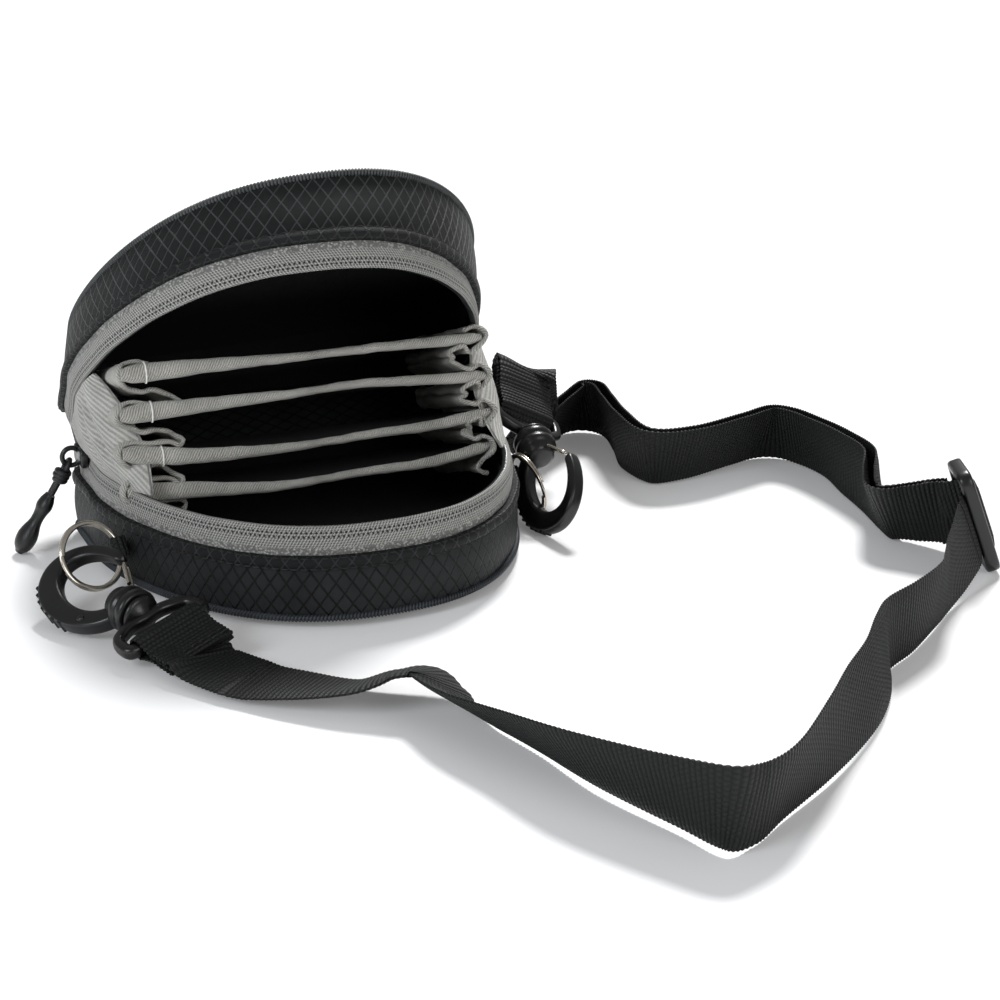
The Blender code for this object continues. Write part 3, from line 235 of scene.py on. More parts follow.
def ripstop_nylon(name, ground, thread, line, line_height):
    """Coated ripstop nylon: a fine plain weave with heavier threads that cross as diamonds.

    The coating gives a dull sheen, and the heavy threads stand proud and catch the light; each
    copy's thread and line colours also hold painted sheen and painted highlight.
    Diamonds are 4.2 mm wide and 6.1 mm high; the weave is drawn at 0.42 mm, coarse enough to show.
    """
    made, tree, shader = new_finish(name)
    cloth, u, v = cloth_axes(tree)
    a = add(tree, MATH, (u, 1 / 4.2), operation="MULTIPLY")
    b = add(tree, MATH, (v, 1 / 6.1), operation="MULTIPLY")
    lines = []
    for operation in ("ADD", "SUBTRACT"):
        slant = add(tree, MATH, (a, b), operation=operation)
        away = add(tree, MATH, (slant, 0.5), operation="PINGPONG")
        lines.append(add(tree, RANGE, (away, 0.035, 0.085, 1.0, 0.0),
                         interpolation_type="SMOOTHSTEP"))
    grid = add(tree, MATH, lines, operation="MAXIMUM")
    weave = add(tree, MATH, [thread_wave(tree, way, 0.42) for way in (u, v)],
                operation="MULTIPLY")
    wear = add(tree, NOISE, {"Vector": cloth, "Scale": 0.09, "Detail": 4.0})
    shade = add(tree, MATH, (add(tree, RANGE, (weave, -0.7, 0.8, 0.0, 1.0)), wear),
                operation="MULTIPLY")
    weave_part = add(tree, MATH, (weave, 0.10), operation="MULTIPLY")
    height = add(tree, MATH, (grid, line_height, weave_part), operation="MULTIPLY_ADD")
    feed(tree, shader, {
        "Base Color": between(tree, grid, between(tree, shade, ground, thread), line),
        "Roughness": add(tree, RANGE, (grid, 0.0, 1.0, 0.58, 0.42)),
        "Specular IOR Level": 0.25, "Normal": relief(tree, height, 0.5 * MM)})
    return made


def zip_tape_weave(name):
    """Woven polyester zip tape: fine slanted ribs, a coarse selvedge and two rows of needle holes.

    Matt and a little fuzzy, so it lights evenly and its pattern shows as light and dark threads.
    """
    made, tree, shader = new_finish(name)
    cloth, u, v = cloth_axes(tree)
    slant = add(tree, MATH, (v, 0.55, u), operation="MULTIPLY_ADD")
    cross = add(tree, MATH, (thread_wave(tree, v, 0.7), 0.28), operation="MULTIPLY")
    weave = add(tree, MATH, (thread_wave(tree, slant, 0.85), 0.5, cross),
                operation="MULTIPLY_ADD")
    knots = add(tree, "ShaderNodeTexVoronoi", {"Vector": cloth, "Scale": 1.25})
    coarse = add(tree, RANGE, (knots, 0.1, 0.6, 0.8, -0.5))
    edge = add(tree, RANGE, (v, 1.6, 2.6, 1.0, 0.0), interpolation_type="SMOOTHSTEP")
    mixed = add(tree, MIX, {0: edge, 2: weave, 3: coarse}, data_type="FLOAT")
    mixed = add(tree, RANGE, (mixed, -0.8, 0.8, 0.0, 1.0))
    dusty = add(tree, NOISE, {"Vector": cloth, "Scale": 0.6, "Detail": 5.0})
    mixed = add(tree, MATH, (mixed, add(tree, MATH, (dusty, 0.62), operation="ADD")),
                operation="MULTIPLY")
    rows = []
    for row, shift in ((5.15, 0.0), (6.25, 0.5)):
        step = add(tree, MATH, (u, 1 / 1.3, shift), operation="MULTIPLY_ADD")
        side = add(tree, MATH, (step, 0.5), operation="PINGPONG")
        side = add(tree, MATH, (side, 1.3), operation="MULTIPLY")
        away = add(tree, MATH, (v, row), operation="SUBTRACT")
        near = add(tree, "ShaderNodeVectorMath", (
            add(tree, "ShaderNodeCombineXYZ", (side, away, 0.0)),), out=1, operation="LENGTH")
        rows.append(add(tree, RANGE, (near, 0.24, 0.40, 1.0, 0.0)))
    holes = add(tree, MATH, rows, operation="MAXIMUM")
    height = add(tree, MATH, (holes, -0.8, mixed), operation="MULTIPLY_ADD")
    feed(tree, shader, {
        "Base Color": between(tree, holes, between(tree, mixed, "#3a3c3c", "#b4b4ae"),
                              "#121314"),
        "Roughness": 0.82, "Sheen Weight": 0.15, "Normal": relief(tree, height, 0.35 * MM)})
    return made


def brushed_canvas(name, dark, light, rib, fuzz):
    """Brushed cotton canvas: twill ribs under a soft nap, which scatters light at its edges."""
    made, tree, shader = new_finish(name)
    cloth, u, v = cloth_axes(tree)
    slant = add(tree, MATH, (v, 0.8, u), operation="MULTIPLY_ADD")
    nap = add(tree, NOISE, {"Vector": cloth, "Scale": 2.4, "Detail": 6.0, "Roughness": 0.7})
    stain = add(tree, NOISE, {"Vector": cloth, "Scale": 0.12, "Detail": 3.0})
    grain = add(tree, MATH, (thread_wave(tree, slant, rib), 0.24, nap),
                operation="MULTIPLY_ADD")
    shade = add(tree, MATH, (stain, 0.7, grain), operation="MULTIPLY_ADD")
    shade = add(tree, RANGE, (shade, 0.45, 1.15, 0.0, 1.0))
    feed(tree, shader, {
        "Base Color": between(tree, shade, dark, light), "Roughness": 0.95,
        "Sheen Weight": fuzz, "Sheen Roughness": 0.6, "Normal": relief(tree, grain, 0.7 * MM)})
    return made


def plain_lining(name):
    """Black polyester lining: a fine matt weave that swallows light. On the pages it also stands as
    painted shade in the pockets.
    """
    made, tree, shader = new_finish(name)
    nap = add(tree, NOISE, {"Vector": cloth_axes(tree)[0], "Scale": 1.8, "Detail": 5.0})
    feed(tree, shader, {"Base Color": between(tree, nap, "#050506", "#151617"),
                        "Roughness": 0.92, "Normal": relief(tree, nap, 0.2 * MM)})
    return made


def polypropylene_webbing(name):
    """Black polypropylene webbing: yarns knotted in cross ribs, with a slight waxy shine.

    Ribs are 1.25 mm apart along the webbing, and each yarn's beads 1.24 mm apart across it.
    """
    made, tree, shader = new_finish(name)
    cloth, u, v = cloth_axes(tree)
    count = add(tree, MATH, (u, MM / RIB_PITCH), operation="MULTIPLY")
    row = add(tree, MATH, (count,), operation="FLOOR")
    shifted = add(tree, MATH, (row, 0.62, v), operation="MULTIPLY_ADD")
    yarn, rib = (add(tree, MATH, (thread_wave(tree, way, 2 * pitch),), operation="ABSOLUTE")
                 for way, pitch in ((shifted, 1.24), (u, RIB_PITCH / MM)))
    bead = add(tree, MATH, (rib, add(tree, MATH, (yarn, 0.55, 0.45), operation="MULTIPLY_ADD")),
               operation="MULTIPLY")
    fibre = add(tree, NOISE, {"Vector": cloth, "Scale": 2.5, "Detail": 4.0})
    shade = add(tree, MATH, (bead, add(tree, MATH, (fibre, 0.5), operation="ADD")),
                operation="MULTIPLY")
    feed(tree, shader, {
        "Base Color": between(tree, shade, "#020202", "#191c1a"), "Roughness": 0.6,
        "Specular IOR Level": 0.3, "Normal": relief(tree, bead, 0.3 * MM)})
    return made


def solid_finish(name, dark, light, roughness, grain_mm, depth_mm, metallic=0.0):
    """A hard or spun surface with a grain of a real size: moulded plastic, plating or thread."""
    made, tree, shader = new_finish(name)
    place = add(tree, "ShaderNodeTexCoord", out="Object")
    grain = add(tree, NOISE, {"Vector": place, "Scale": 1 / (grain_mm * MM), "Detail": 3.0})
    worn = add(tree, NOISE, {"Vector": place, "Scale": 140.0, "Detail": 5.0})
    feed(tree, shader, {
        "Base Color": between(tree, worn, dark, light), "Metallic": metallic,
        "Roughness": add(tree, RANGE, (worn, 0.2, 0.8, roughness * 0.85, roughness * 1.2)),
        "Normal": relief(tree, grain, depth_mm * MM)})
    return made


def studio_floor():
    """White studio paper, lit from within a little so that its shadows stay soft."""
    made, tree, shader = new_finish("studio_paper")
    feed(tree, shader, {"Base Color": colour("#f6f6f6"), "Roughness": 0.9})
    glow = add(tree, "ShaderNodeEmission", {"Color": WHITE, "Strength": 1.0})
    seen = add(tree, "ShaderNodeLightPath", out="Is Camera Ray")
    share = add(tree, MATH, (seen, 0.12), operation="MULTIPLY")
    mixed = add(tree, "ShaderNodeMixShader", (share, shader.outputs[0], glow))
    feed(tree, tree.nodes["Material Output"], {"Surface": mixed})
    return made


# ---- Meshes from grids of points

def unit(rows):
    """Directions of length 1."""
    return rows / np.maximum(np.linalg.norm(rows, axis=-1, keepdims=True), 1e-12)


def lengths(points):
    """Length along a row of points, from 0."""
    steps = np.linalg.norm(np.diff(points, axis=0), axis=1)
    return np.concatenate(((0.0,), np.cumsum(steps)))


def even(points, count, *others):
    """The same line with evenly spaced points, and others carried along."""
    run = lengths(points)
    want = np.linspace(0.0, run[-1], count)
    made = []
    for rows in (points, *others):
        made.append(np.stack([np.interp(want, run, rows[:, k]) for k in range(rows.shape[1])], -1))
    return made[0] if not others else made


def flowing(values, substeps):
    """Points on a smooth curve through rows of numbers."""
    rows = np.asarray(values, float)
    last = len(rows) - 1
    share = np.arange(substeps)[:, None] / substeps
    made = []
    for i in range(last):
        p0, p1 = rows[max(i - 1, 0)], rows[i]
        p2, p3 = rows[i + 1], rows[min(i + 2, last)]
        made.append(0.5 * (2 * p1 + (p2 - p0) * share
                           + (2 * p0 - 5 * p1 + 4 * p2 - p3) * share ** 2
                           + (3 * p1 - p0 - 3 * p2 + p3) * share ** 3))
    return np.concatenate(made + [rows[-1:]])


def ripple(points, size, seed=0.0):
    """Smooth noise from -1 to 1 at each point, with waves of a size."""
    flat = points.reshape(-1, 3) / size + seed
    return np.array([noise.noise(Vector(p)) for p in flat]).reshape(points.shape[:-1])


def skin(name, grid, surface, u=None, v=None, around=False, shut=True, weld=False):
    """A mesh on a grid of points, its UV map in metres.

    around joins the last row to the first, and shut the last column to the first.
    """
    rows, columns = grid.shape[:2]
    if u is None:
        u = lengths(np.concatenate((grid[:, 0], grid[:1, 0])))
    if v is None:
        v = lengths(np.concatenate((grid[rows // 2], grid[rows // 2, :1])))
    a, b = np.meshgrid(np.arange(rows if around else rows - 1),
                       np.arange(columns if shut else columns - 1), indexing="ij")
    a, b = a.ravel(), b.ravel()
    corners = ((a, b), (a, b + 1), (a + 1, b + 1), (a + 1, b))
    quads = np.stack([(p % rows) * columns + q % columns for p, q in corners], axis=1)
    flat = grid.reshape(-1, 3)
    p = flat[quads]
    volume = (np.einsum("ij,ij->i", p[:, 0], np.cross(p[:, 1], p[:, 2])).sum()
              + np.einsum("ij,ij->i", p[:, 0], np.cross(p[:, 2], p[:, 3])).sum())
    uv = np.stack([np.stack((u[i], v[j]), -1) for i, j in corners], axis=1)
    faces = quads.tolist()
    maps = [uv.reshape(-1, 2)]
    if shut and not around:
        first = list(range(columns))[::-1]
        end = list(range((rows - 1) * columns, rows * columns))
        for face, row in ((first, 0), (end, rows - 1)):
            faces.append(face)
            maps.append(np.array([(u[row], v[k % columns]) for k in face]))
            q = flat[face]
            volume += np.cross(q[1:-1] - q[0], q[2:] - q[0]).dot(q[0]).sum()
    maps = np.concatenate(maps)
    mesh = bpy.data.meshes.new(name)
    mesh.from_pydata(flat.tolist(), [], faces)
    layer = mesh.uv_layers.new(name="cloth")
    layer.data.foreach_set("uv", maps.ravel())
    if volume < 0:
        mesh.flip_normals()
    mesh.materials.append(surface)
    if weld:
        bm = bmesh.new()
        bm.from_mesh(mesh)
        bmesh.ops.remove_doubles(bm, verts=bm.verts, dist=1e-7)
        bmesh.ops.dissolve_degenerate(bm, edges=bm.edges, dist=1e-8)
        bm.to_mesh(mesh)
        bm.free()
    mesh.shade_smooth()
    mesh.set_sharp_from_angle(angle=math.radians(50))
    return linked(name, mesh)


def gathered(name, parts):
    """Several meshes as one piece."""
    with bpy.context.temp_override(active_object=parts[0], object=parts[0],
                                   selected_objects=parts, selected_editable_objects=parts):
        bpy.ops.object.join()
    parts[0].name = name
    parts[0].data.name = name
    return parts[0]


def framed(path, ups, closed=False):
    """Directions along, up and out of a line, for carrying a cross-section."""
    if closed:
        ahead = unit(np.roll(path, -1, axis=0) - np.roll(path, 1, axis=0))
    else:
        ahead = unit(np.gradient(path, axis=0))
    ups = np.broadcast_to(np.asarray(ups, float), path.shape)
    up = unit(ups - ahead * np.sum(ups * ahead, axis=1, keepdims=True))
    return ahead, up, np.cross(ahead, up)


def carried(path, ups, section, closed=False):
    """A cross-section of (across, out) pairs carried along a line, with one up or one a point."""
    _, up, out = framed(path, ups, closed)
    section = np.broadcast_to(section, (len(path), *np.shape(section)[-2:]))
    return path[:, None] + up[:, None] * section[..., :1] + out[:, None] * section[..., 1:]


def ringed(radius, sides, squash=1.0, power=1.0):
    """A round or softly squared cross-section."""
    turn = 2 * np.pi * (np.arange(sides) + 0.5) / sides
    c, s = np.cos(turn), np.sin(turn)
    return np.stack((np.sign(c) * np.abs(c) ** power * radius,
                     np.sign(s) * np.abs(s) ** power * radius * squash), -1)


def tube(name, path, surface, radius, up, sides=10, closed=False):
    """Wire or cord of one thickness."""
    return skin(name, carried(path, up, ringed(radius, sides), closed), surface, around=closed)


def moulded_bar(name, path, surface, up, sides, power, across, out, closed=False):
    """A bar with a softly squared section that may swell; across and out are its half sizes."""
    half = np.stack(np.broadcast_arrays(across, out, path[:, 0])[:2], -1)
    section = ringed(1.0, sides, power=power) * half[:, None]
    return skin(name, carried(path, up, section, closed), surface, around=closed)


def turned(name, profile_mm, surface, steps=48):
    """A body turned about X from (along, radius) pairs."""
    turn = 2 * np.pi * np.arange(steps) / steps
    grid = np.array([[(along, r * math.cos(t), r * math.sin(t)) for t in turn]
                     for along, r in np.array(profile_mm) * MM])
    return skin(name, grid, surface)


def axes_of(place, along, across):
    """Place and turn of a piece whose X runs along and whose Y runs across."""
    x_axis = unit(np.asarray(along, float))
    y_axis = np.asarray(across, float)
    y_axis = unit(y_axis - x_axis * y_axis.dot(x_axis))
    matrix = np.eye(4)
    matrix[:3, 0], matrix[:3, 1], matrix[:3, 2] = x_axis, y_axis, np.cross(x_axis, y_axis)
    matrix[:3, 3] = place
    return matrix


def put(obj, matrix):
    """Move a mesh to its place and leave the object at the origin."""
    obj.data.transform(Matrix(matrix.tolist()))
    obj.data.update()
    return obj


def stand_in(piece, node, body="lower_shell"):
    """Take a CAD node's place and move with a body."""
    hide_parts(node)
    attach(piece, body)


# ---- Repeated small pieces, set along a line by Geometry Nodes

def seam_row_tree():
    """Copies of a small piece at even steps on a line, turned to its outward attribute."""
    tree = bpy.data.node_groups.new("pieces_along_a_seam", "GeometryNodeTree")
    for name, kind in (("Line", "Geometry"), ("Spacing", "Float"), ("Piece", "Object"),
                       ("Finish", "Material")):
        tree.interface.new_socket(name, in_out="INPUT", socket_type="NodeSocket" + kind)
    tree.interface.new_socket("Row", in_out="OUTPUT", socket_type="NodeSocketGeometry")
    taken = tree.nodes.new("NodeGroupInput").outputs
    line = add(tree, "GeometryNodeMeshToCurve", {"Mesh": taken["Line"]})
    steps = add(tree, "GeometryNodeResampleCurve", mode="LENGTH",
                feeds={"Curve": line, "Length": taken["Spacing"]})
    piece = add(tree, "GeometryNodeObjectInfo", {"Object": taken["Piece"]}, out="Geometry")
    outward = add(tree, "GeometryNodeInputNamedAttribute", {"Name": "outward"}, out="Attribute",
                  data_type="FLOAT_VECTOR")
    turn = add(tree, "FunctionNodeAxesToRotation", (outward, add(tree, "GeometryNodeInputTangent")),
               primary_axis="Z", secondary_axis="X")
    copies = add(tree, "GeometryNodeInstanceOnPoints",
                 {"Points": steps, "Instance": piece, "Rotation": turn})
    real = add(tree, "GeometryNodeRealizeInstances", (copies,))
    row = add(tree, "GeometryNodeSetMaterial", {"Geometry": real, "Material": taken["Finish"]})
    feed(tree, tree.nodes.new("NodeGroupOutput"), {"Row": row})
    return tree


def seam_row(name, path, outward, piece, spacing, surface, closed=False):
    """A plain mesh of copies of piece along a path; outward is the copies' own Z."""
    mesh = bpy.data.meshes.new(name + "_line")
    count = len(path)
    edges = [(i, i + 1) for i in range(count - 1)] + ([(count - 1, 0)] if closed else [])
    mesh.from_pydata(path.tolist(), edges, [])
    mark = mesh.attributes.new("outward", "FLOAT_VECTOR", "POINT")
    mark.data.foreach_set("vector", np.broadcast_to(outward, path.shape).ravel())
    line = linked(name + "_line", mesh)
    modifier = line.modifiers.new("row", "NODES")
    modifier.node_group = SEAM_ROW
    wanted = {"Spacing": spacing, "Piece": piece, "Finish": surface}
    for item in SEAM_ROW.interface.items_tree:
        if item.in_out == "INPUT" and item.name in wanted:
            modifier[item.identifier] = wanted[item.name]
    bpy.context.view_layer.update()
    graph = bpy.context.evaluated_depsgraph_get()
    made = bpy.data.meshes.new_from_object(line.evaluated_get(graph))
    made.name = name
    bpy.data.objects.remove(line, do_unlink=True)
    made.shade_smooth()
    return linked(name, made)


def thread_turn(name, surface, sides, radius, lean, across, out, start=0.0):
    """One leaning turn of thread or coil; its sizes are in millimetres."""
    turn = 2 * np.pi * np.arange(sides) / sides
    path = np.stack((lean * np.sin(turn + start), across * np.cos(turn), out * np.sin(turn)), -1)
    return tube(name, path * MM, surface, radius * MM, (1.0, 0.0, 0.0), sides=5, closed=True)


def stitch(length, radius):
    """One stitch: a short thread that dips at both ends."""
    along = np.linspace(-0.5, 0.5, 6)
    path = np.stack((along * length, 0 * along, radius * (0.5 - 5.0 * along ** 2)), -1)
    return tube("stitch", path, THREAD, radius, (0.0, 1.0, 0.0), sides=5)


# ---- The case

def perimeter(count):
    """The outline from above: even points, outward directions and the length to each."""
    reach = CASE_DEPTH - STRAIGHT_SIDE
    turn = np.linspace(0.0, np.pi, 721)
    c, s = np.cos(turn), np.abs(np.sin(turn))
    front = np.stack((np.sign(c) * HALF_WIDTH * np.abs(c) ** (2 / FRONT_ROUNDNESS),
                      REAR_Y - STRAIGHT_SIDE - reach * s ** (2 / SIDE_ROUNDNESS)), -1)
    quarter = np.linspace(0.5 * np.pi, 0.0, 19)
    centre = np.array((HALF_WIDTH - REAR_CORNER_RADIUS, REAR_Y - REAR_CORNER_RADIUS))
    right = centre + REAR_CORNER_RADIUS * np.stack((np.cos(quarter), np.sin(quarter)), -1)
    left = right[::-1] * (-1, 1)
    middle = np.array(((0.0, REAR_Y),))
    line = np.concatenate((middle, right, front, left, middle))
    made = even(line, count + 1)
    run = lengths(made)
    made = made[:-1]
    ahead = unit(np.roll(made, -1, axis=0) - np.roll(made, 1, axis=0))
    return made, np.stack((-ahead[:, 1], ahead[:, 0]), -1), run


def band(section, part=None, wave=0.0, size=20 * MM, seed=0.0):
    """Points of a band round the case; its columns are (outset, height) pairs."""
    part = slice(None) if part is None else part
    flat, out = PERIMETER[part], OUTWARD[part]
    grid = np.empty((len(flat), len(section), 3))
    for j, (outset, height) in enumerate(section):
        grid[:, j, :2] = flat + out * outset
        grid[:, j, 2] = height
    if wave:
        push = ripple(grid, size, seed) * wave
        grid[..., :2] += out[:, None] * push[..., None]
    return grid


def opened(points, degrees):
    """Points of the closed case, turned back about the fold line."""
    turn = -np.radians(np.broadcast_to(degrees, points.shape[:-1]))[..., None]
    arm = points - FOLD_POINT
    c, s = np.cos(turn), np.sin(turn)
    along = (arm @ FOLD_AXIS)[..., None] * FOLD_AXIS
    return FOLD_POINT + arm * c + np.cross(np.broadcast_to(FOLD_AXIS, arm.shape), arm) * s \
        + along * (1 - c)


def shown(points, is_lid):
    """Where the cloth of a half is in the picture: the soft lid leans over to the right."""
    if not is_lid:
        return points
    rise = np.clip((points[..., 2] - LID_SEAM) / (LID_PIPING - LID_SEAM), 0.0, 1.1)
    x = points[..., 0]
    leaned = points.copy()
    leaned[..., 0] += rise * (3.6 * MM - 0.022 * x)
    leaned[..., 2] += rise * (0.042 * x - 0.5 * MM)
    return opened(leaned, LID_OPEN_DEG)


def seam_on(name, is_lid, place, outward, piece, spacing, finish, part=None, wave=()):
    """A row of small pieces along one line of a half; place is its (outset, height)."""
    line = band([place], part, *wave)[:, 0]
    tip = shown(line + unit(np.broadcast_to(outward, line.shape)) * MM, is_lid)
    line = shown(line, is_lid)
    return seam_row(name, line, unit(tip - line), piece, spacing, finish, part is None)


def face_panel(prefix, is_lid, edge, way, finish):
    """Crowned face panel with rounded rims; the lid's is a little dented."""
    rim = edge - way * 0.8 * MM
    columns = []
    for depth in (0.0, 1.6 * MM):
        row = []
        for part, rise in PANEL_CROWN:
            height = rim - way * (1.95 * MM * (1 - rise) - depth)
            height += way * 0.3 * MM * (1 - part) if is_lid else 0.0
            row.append(np.column_stack((PERIMETER * part, np.full(len(PERIMETER), height))))
        columns += row if depth == 0.0 else row[::-1]
    grid = np.stack(columns, axis=1)
    if is_lid:
        grid[..., 2] += ripple(grid, 34 * MM, 3.0) * 0.5 * MM
    panel = skin(prefix + "_panel_cloth", shown(grid, is_lid), finish, u=PERIMETER_RUN,
                 around=True, weld=True)
    flat_map(panel)
    return panel


def lining(prefix, is_lid, edge, seam, way):
    """Thin black tub inside a half."""
    tub = [(1.0, -2.5, seam + way * 0.6 * MM), (1.0, -2.7, edge + way * 7 * MM),
           (1.0, -2.9, edge + way * 3.4 * MM), (0.97, -2.9, edge + way * 2.4 * MM),
           (0.8, -2.6, edge + way * 1.9 * MM), (0.45, -2.6, edge + way * 1.8 * MM),
           (0.0, 0.0, edge + way * 1.8 * MM)]
    columns = []
    for lift in (0.0, 0.5 * MM):
        row = []
        for k, (part, outset, height) in enumerate(tub):
            aside, up = (lift, 0.0) if k < 3 else (0.0, lift)
            flat = (PERIMETER + OUTWARD * (outset * MM - aside)) * part
            row.append(np.column_stack((flat, np.full(len(flat), height + way * up))))
        columns += row if lift == 0.0 else row[::-1]
    return skin(prefix + "_lining_cloth", shown(np.stack(columns, axis=1), is_lid), LINING_AND_POCKET_SHADE,
                u=PERIMETER_RUN, around=True, weld=True)


def shell_half(prefix, is_lid, body, wall_finish, hem_finish):
    """Wall, face panel, lining, hem, tape, coil and piping of one half."""
    way = -1.0 if is_lid else 1.0
    edge = LID_PIPING if is_lid else PIPING_HEIGHT
    seam = LID_SEAM if is_lid else LOWER_SEAM
    zip_edge = ZIP_LINE + (0.3 * MM if is_lid else 0.0)
    flare = 1.2 * MM if is_lid else 1.0 * MM
    start = edge + way * 0.6 * MM
    outer = [(flare * (1 - t) + 0.9 * MM * math.sin(math.pi * t), start + (seam - start) * t)
             for t in np.linspace(0.0, 1.0, 13)]
    inner = [(o - WALL_THICKNESS, h) for o, h in outer[::-3]]
    wall = skin(prefix + "_wall_cloth", shown(band(outer + inner, wave=0.55 * MM), is_lid),
                wall_finish, u=PERIMETER_RUN, around=True)
    stand_in(wall, prefix + "_wall", body)
    stand_in(face_panel(prefix, is_lid, edge, way, wall_finish), prefix + "_panel", body)
    stand_in(lining(prefix, is_lid, edge, seam, way), prefix + "_lining", body)

    hem = [(o * MM, seam + way * h * MM) for o, h in HEM_SECTION]
    roll = skin(prefix + "_hem_roll", shown(band(hem, None, *HEM_WAVE), is_lid), hem_finish,
                u=PERIMETER_RUN, around=True)
    stand_in(roll, prefix + "_hem", body)
    rows = [seam_on(prefix + "_row", is_lid, (outset * MM, seam + way * at * MM),
                    np.column_stack((OUTWARD, np.full(len(OUTWARD), way * tilt))), STITCH,
                    STITCH_STEP, THREAD, wave=HEM_WAVE)
            for outset, at, tilt in ((1.35, -3.15, -0.5), (1.25, -0.25, 0.5))]
    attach(gathered(prefix + "_hem_stitches", rows), body)

    start = seam + way * 0.1 * MM
    outer = [(-0.1 * MM - 0.55 * MM * t ** 2 + 0.35 * MM * math.sin(math.pi * t),
              start + (zip_edge - start) * t) for t in np.linspace(0.0, 1.0, 9)]
    inner = [(o - TAPE_THICKNESS, h) for o, h in outer[::-4]]
    tape = skin(prefix + "_tape", shown(band(outer + inner, ZIP_PART, *TAPE_WAVE), is_lid), TAPE,
                u=PERIMETER_RUN[ZIP_PART])
    stand_in(tape, prefix + "_zip_tape", body)
    coil = seam_on(prefix + "_coil", is_lid, (-1.75 * MM, zip_edge - way * 0.92 * MM),
                   (0.0, 0.0, way), COIL_TURN, COIL_STEP, COIL_NYLON, ZIP_PART, TAPE_WAVE)
    stand_in(coil, prefix + "_zip_coil", body)

    line = shown(band([(PIPING_OUTSET, edge)])[:, 0], is_lid)
    core = tube(prefix + "_core", line, THREAD, CORE_RADIUS, UP, 8, closed=True)
    wraps = seam_on(prefix + "_wraps", is_lid, (PIPING_OUTSET, edge),
                    np.column_stack((OUTWARD, 0 * OUTWARD[:, 0])), WRAP, WRAP_STEP,
                    LID_WRAPS_PAINTED_HIGHLIGHT if is_lid else LOWER_WRAPS)
    stand_in(gathered(prefix + "_piping_cord", [core, wraps]), prefix + "_piping", body)


def flat_map(obj):
    """Map a face panel's cloth from above, so that its pattern runs straight across."""
    mesh = obj.data
    places = np.empty(len(mesh.vertices) * 3)
    mesh.vertices.foreach_get("co", places)
    index = np.empty(len(mesh.loops), int)
    mesh.loops.foreach_get("vertex_index", index)
    mesh.uv_layers["cloth"].data.foreach_set("uv", places.reshape(-1, 3)[index][:, :2].ravel())


def back_strip():
    """Strip of the wall cloth between the two halves, round the rear corners."""
    around = np.roll(np.arange(PERIMETER_POINTS), PERIMETER_POINTS // 2)
    around = around[PERIMETER[around, 1] > REAR_Y - ZIP_END_FROM_REAR - 1 * MM]
    flat, out = PERIMETER[around], OUTWARD[around]
    rows = []
    for t in np.linspace(0.0, 1.0, 17):
        height = LOWER_SEAM - 0.5 * MM + (LID_SEAM - LOWER_SEAM + MM) * t
        ring = []
        for inset in (0.6 * MM, 1.6 * MM):
            line = np.column_stack((flat - out * inset, np.full(len(flat), height)))
            line[:, :2] += out * (ripple(line, 12 * MM, 7.0) * 0.5 * MM)[:, None]
            ring.append(opened(line, LID_OPEN_DEG * t))
        rows.append(np.concatenate((ring[0], ring[1][::-1])))
    piece = skin("back_strip_cloth", np.stack(rows), LOWER_CLOTH_PAINTED_SHEEN)
    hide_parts("spine_panel")
    outer = np.stack(rows)[:, :len(flat)]
    height = np.linalg.norm(np.diff(outer, axis=0), axis=2).mean(axis=1).sum()
    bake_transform(piece)


def page(index):
    """One page of the fan: pocket cloth in the black lining, which is painted shade of the pocket's
    inside, with a rolled canvas binding at its mouth.
    """
    height, degrees = PAGE_HEIGHTS[index], PAGE_OPEN_DEG[index]
    hem_y = REAR_Y - PAGE_REACH[index]
    x = np.linspace(-PAGE_LEFT[index], PAGE_RIGHT[index], 110)
    t = x / HALF_WIDTH
    edge = np.minimum((x + PAGE_LEFT[index]), (PAGE_RIGHT[index] - x)) / MM
    sag = -PAGE_SAG[index] * np.clip(1 - (1.12 * t) ** 2, 0, 1)
    line = np.column_stack((x, np.full(110, hem_y), height + sag))
    line[:, 1] += ripple(line, 26 * MM, 11.0 + index) * 1.6 * MM + 1.2 * MM * t
    line[:, 2] += ripple(line, 30 * MM, 21.0 + index) * 1.0 * MM
    half = (1.1 + 1.5 * np.clip(-t * 1.3, 0, 1) ** 1.1 + 0.7 * np.clip(t * 1.15, 0, 1) ** 1.2) * MM
    half = half * (1.0 - 0.35 * np.exp(-(edge / 2.2) ** 2))
    section = ringed(1.0, 16)[None] * np.stack((half, np.full(110, BINDING_HALF)), -1)[:, None]
    grid = carried(line, UP, section)
    grid[..., 2] += ripple(grid, 5 * MM, 2.0) * 0.22 * MM
    binding = skin(f"page_{index + 1}_binding", opened(grid, degrees), CANVAS, u=lengths(line))
    sheet = []
    for d in np.linspace(0.0, 1.0, 14):
        row = line.copy()
        row[:, 1] = line[:, 1] * (1 - d) + PAGE_ROOT_Y * d + 0.6 * MM * (1 - d)
        row[:, 2] = height + sag * (1 - d) ** 1.6 + (line[:, 2] - height - sag) * (1 - d)
        sheet.append(row)
    top = np.stack(sheet)
    lift = np.array(UP) * POCKET_THICKNESS / 2
    slab = np.concatenate((top + lift, (top - lift)[:, ::-1]), axis=1)
    # Pocket cloth in the black lining: painted shade of the pocket's inside.
    cloth = skin(f"page_{index + 1}_pocket", opened(slab, degrees), LINING_AND_POCKET_SHADE)
    stand_in(cloth, f"divider_{index + 1}", f"page_{index + 1}")
    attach(binding, f"page_{index + 1}")
    return line, half, degrees


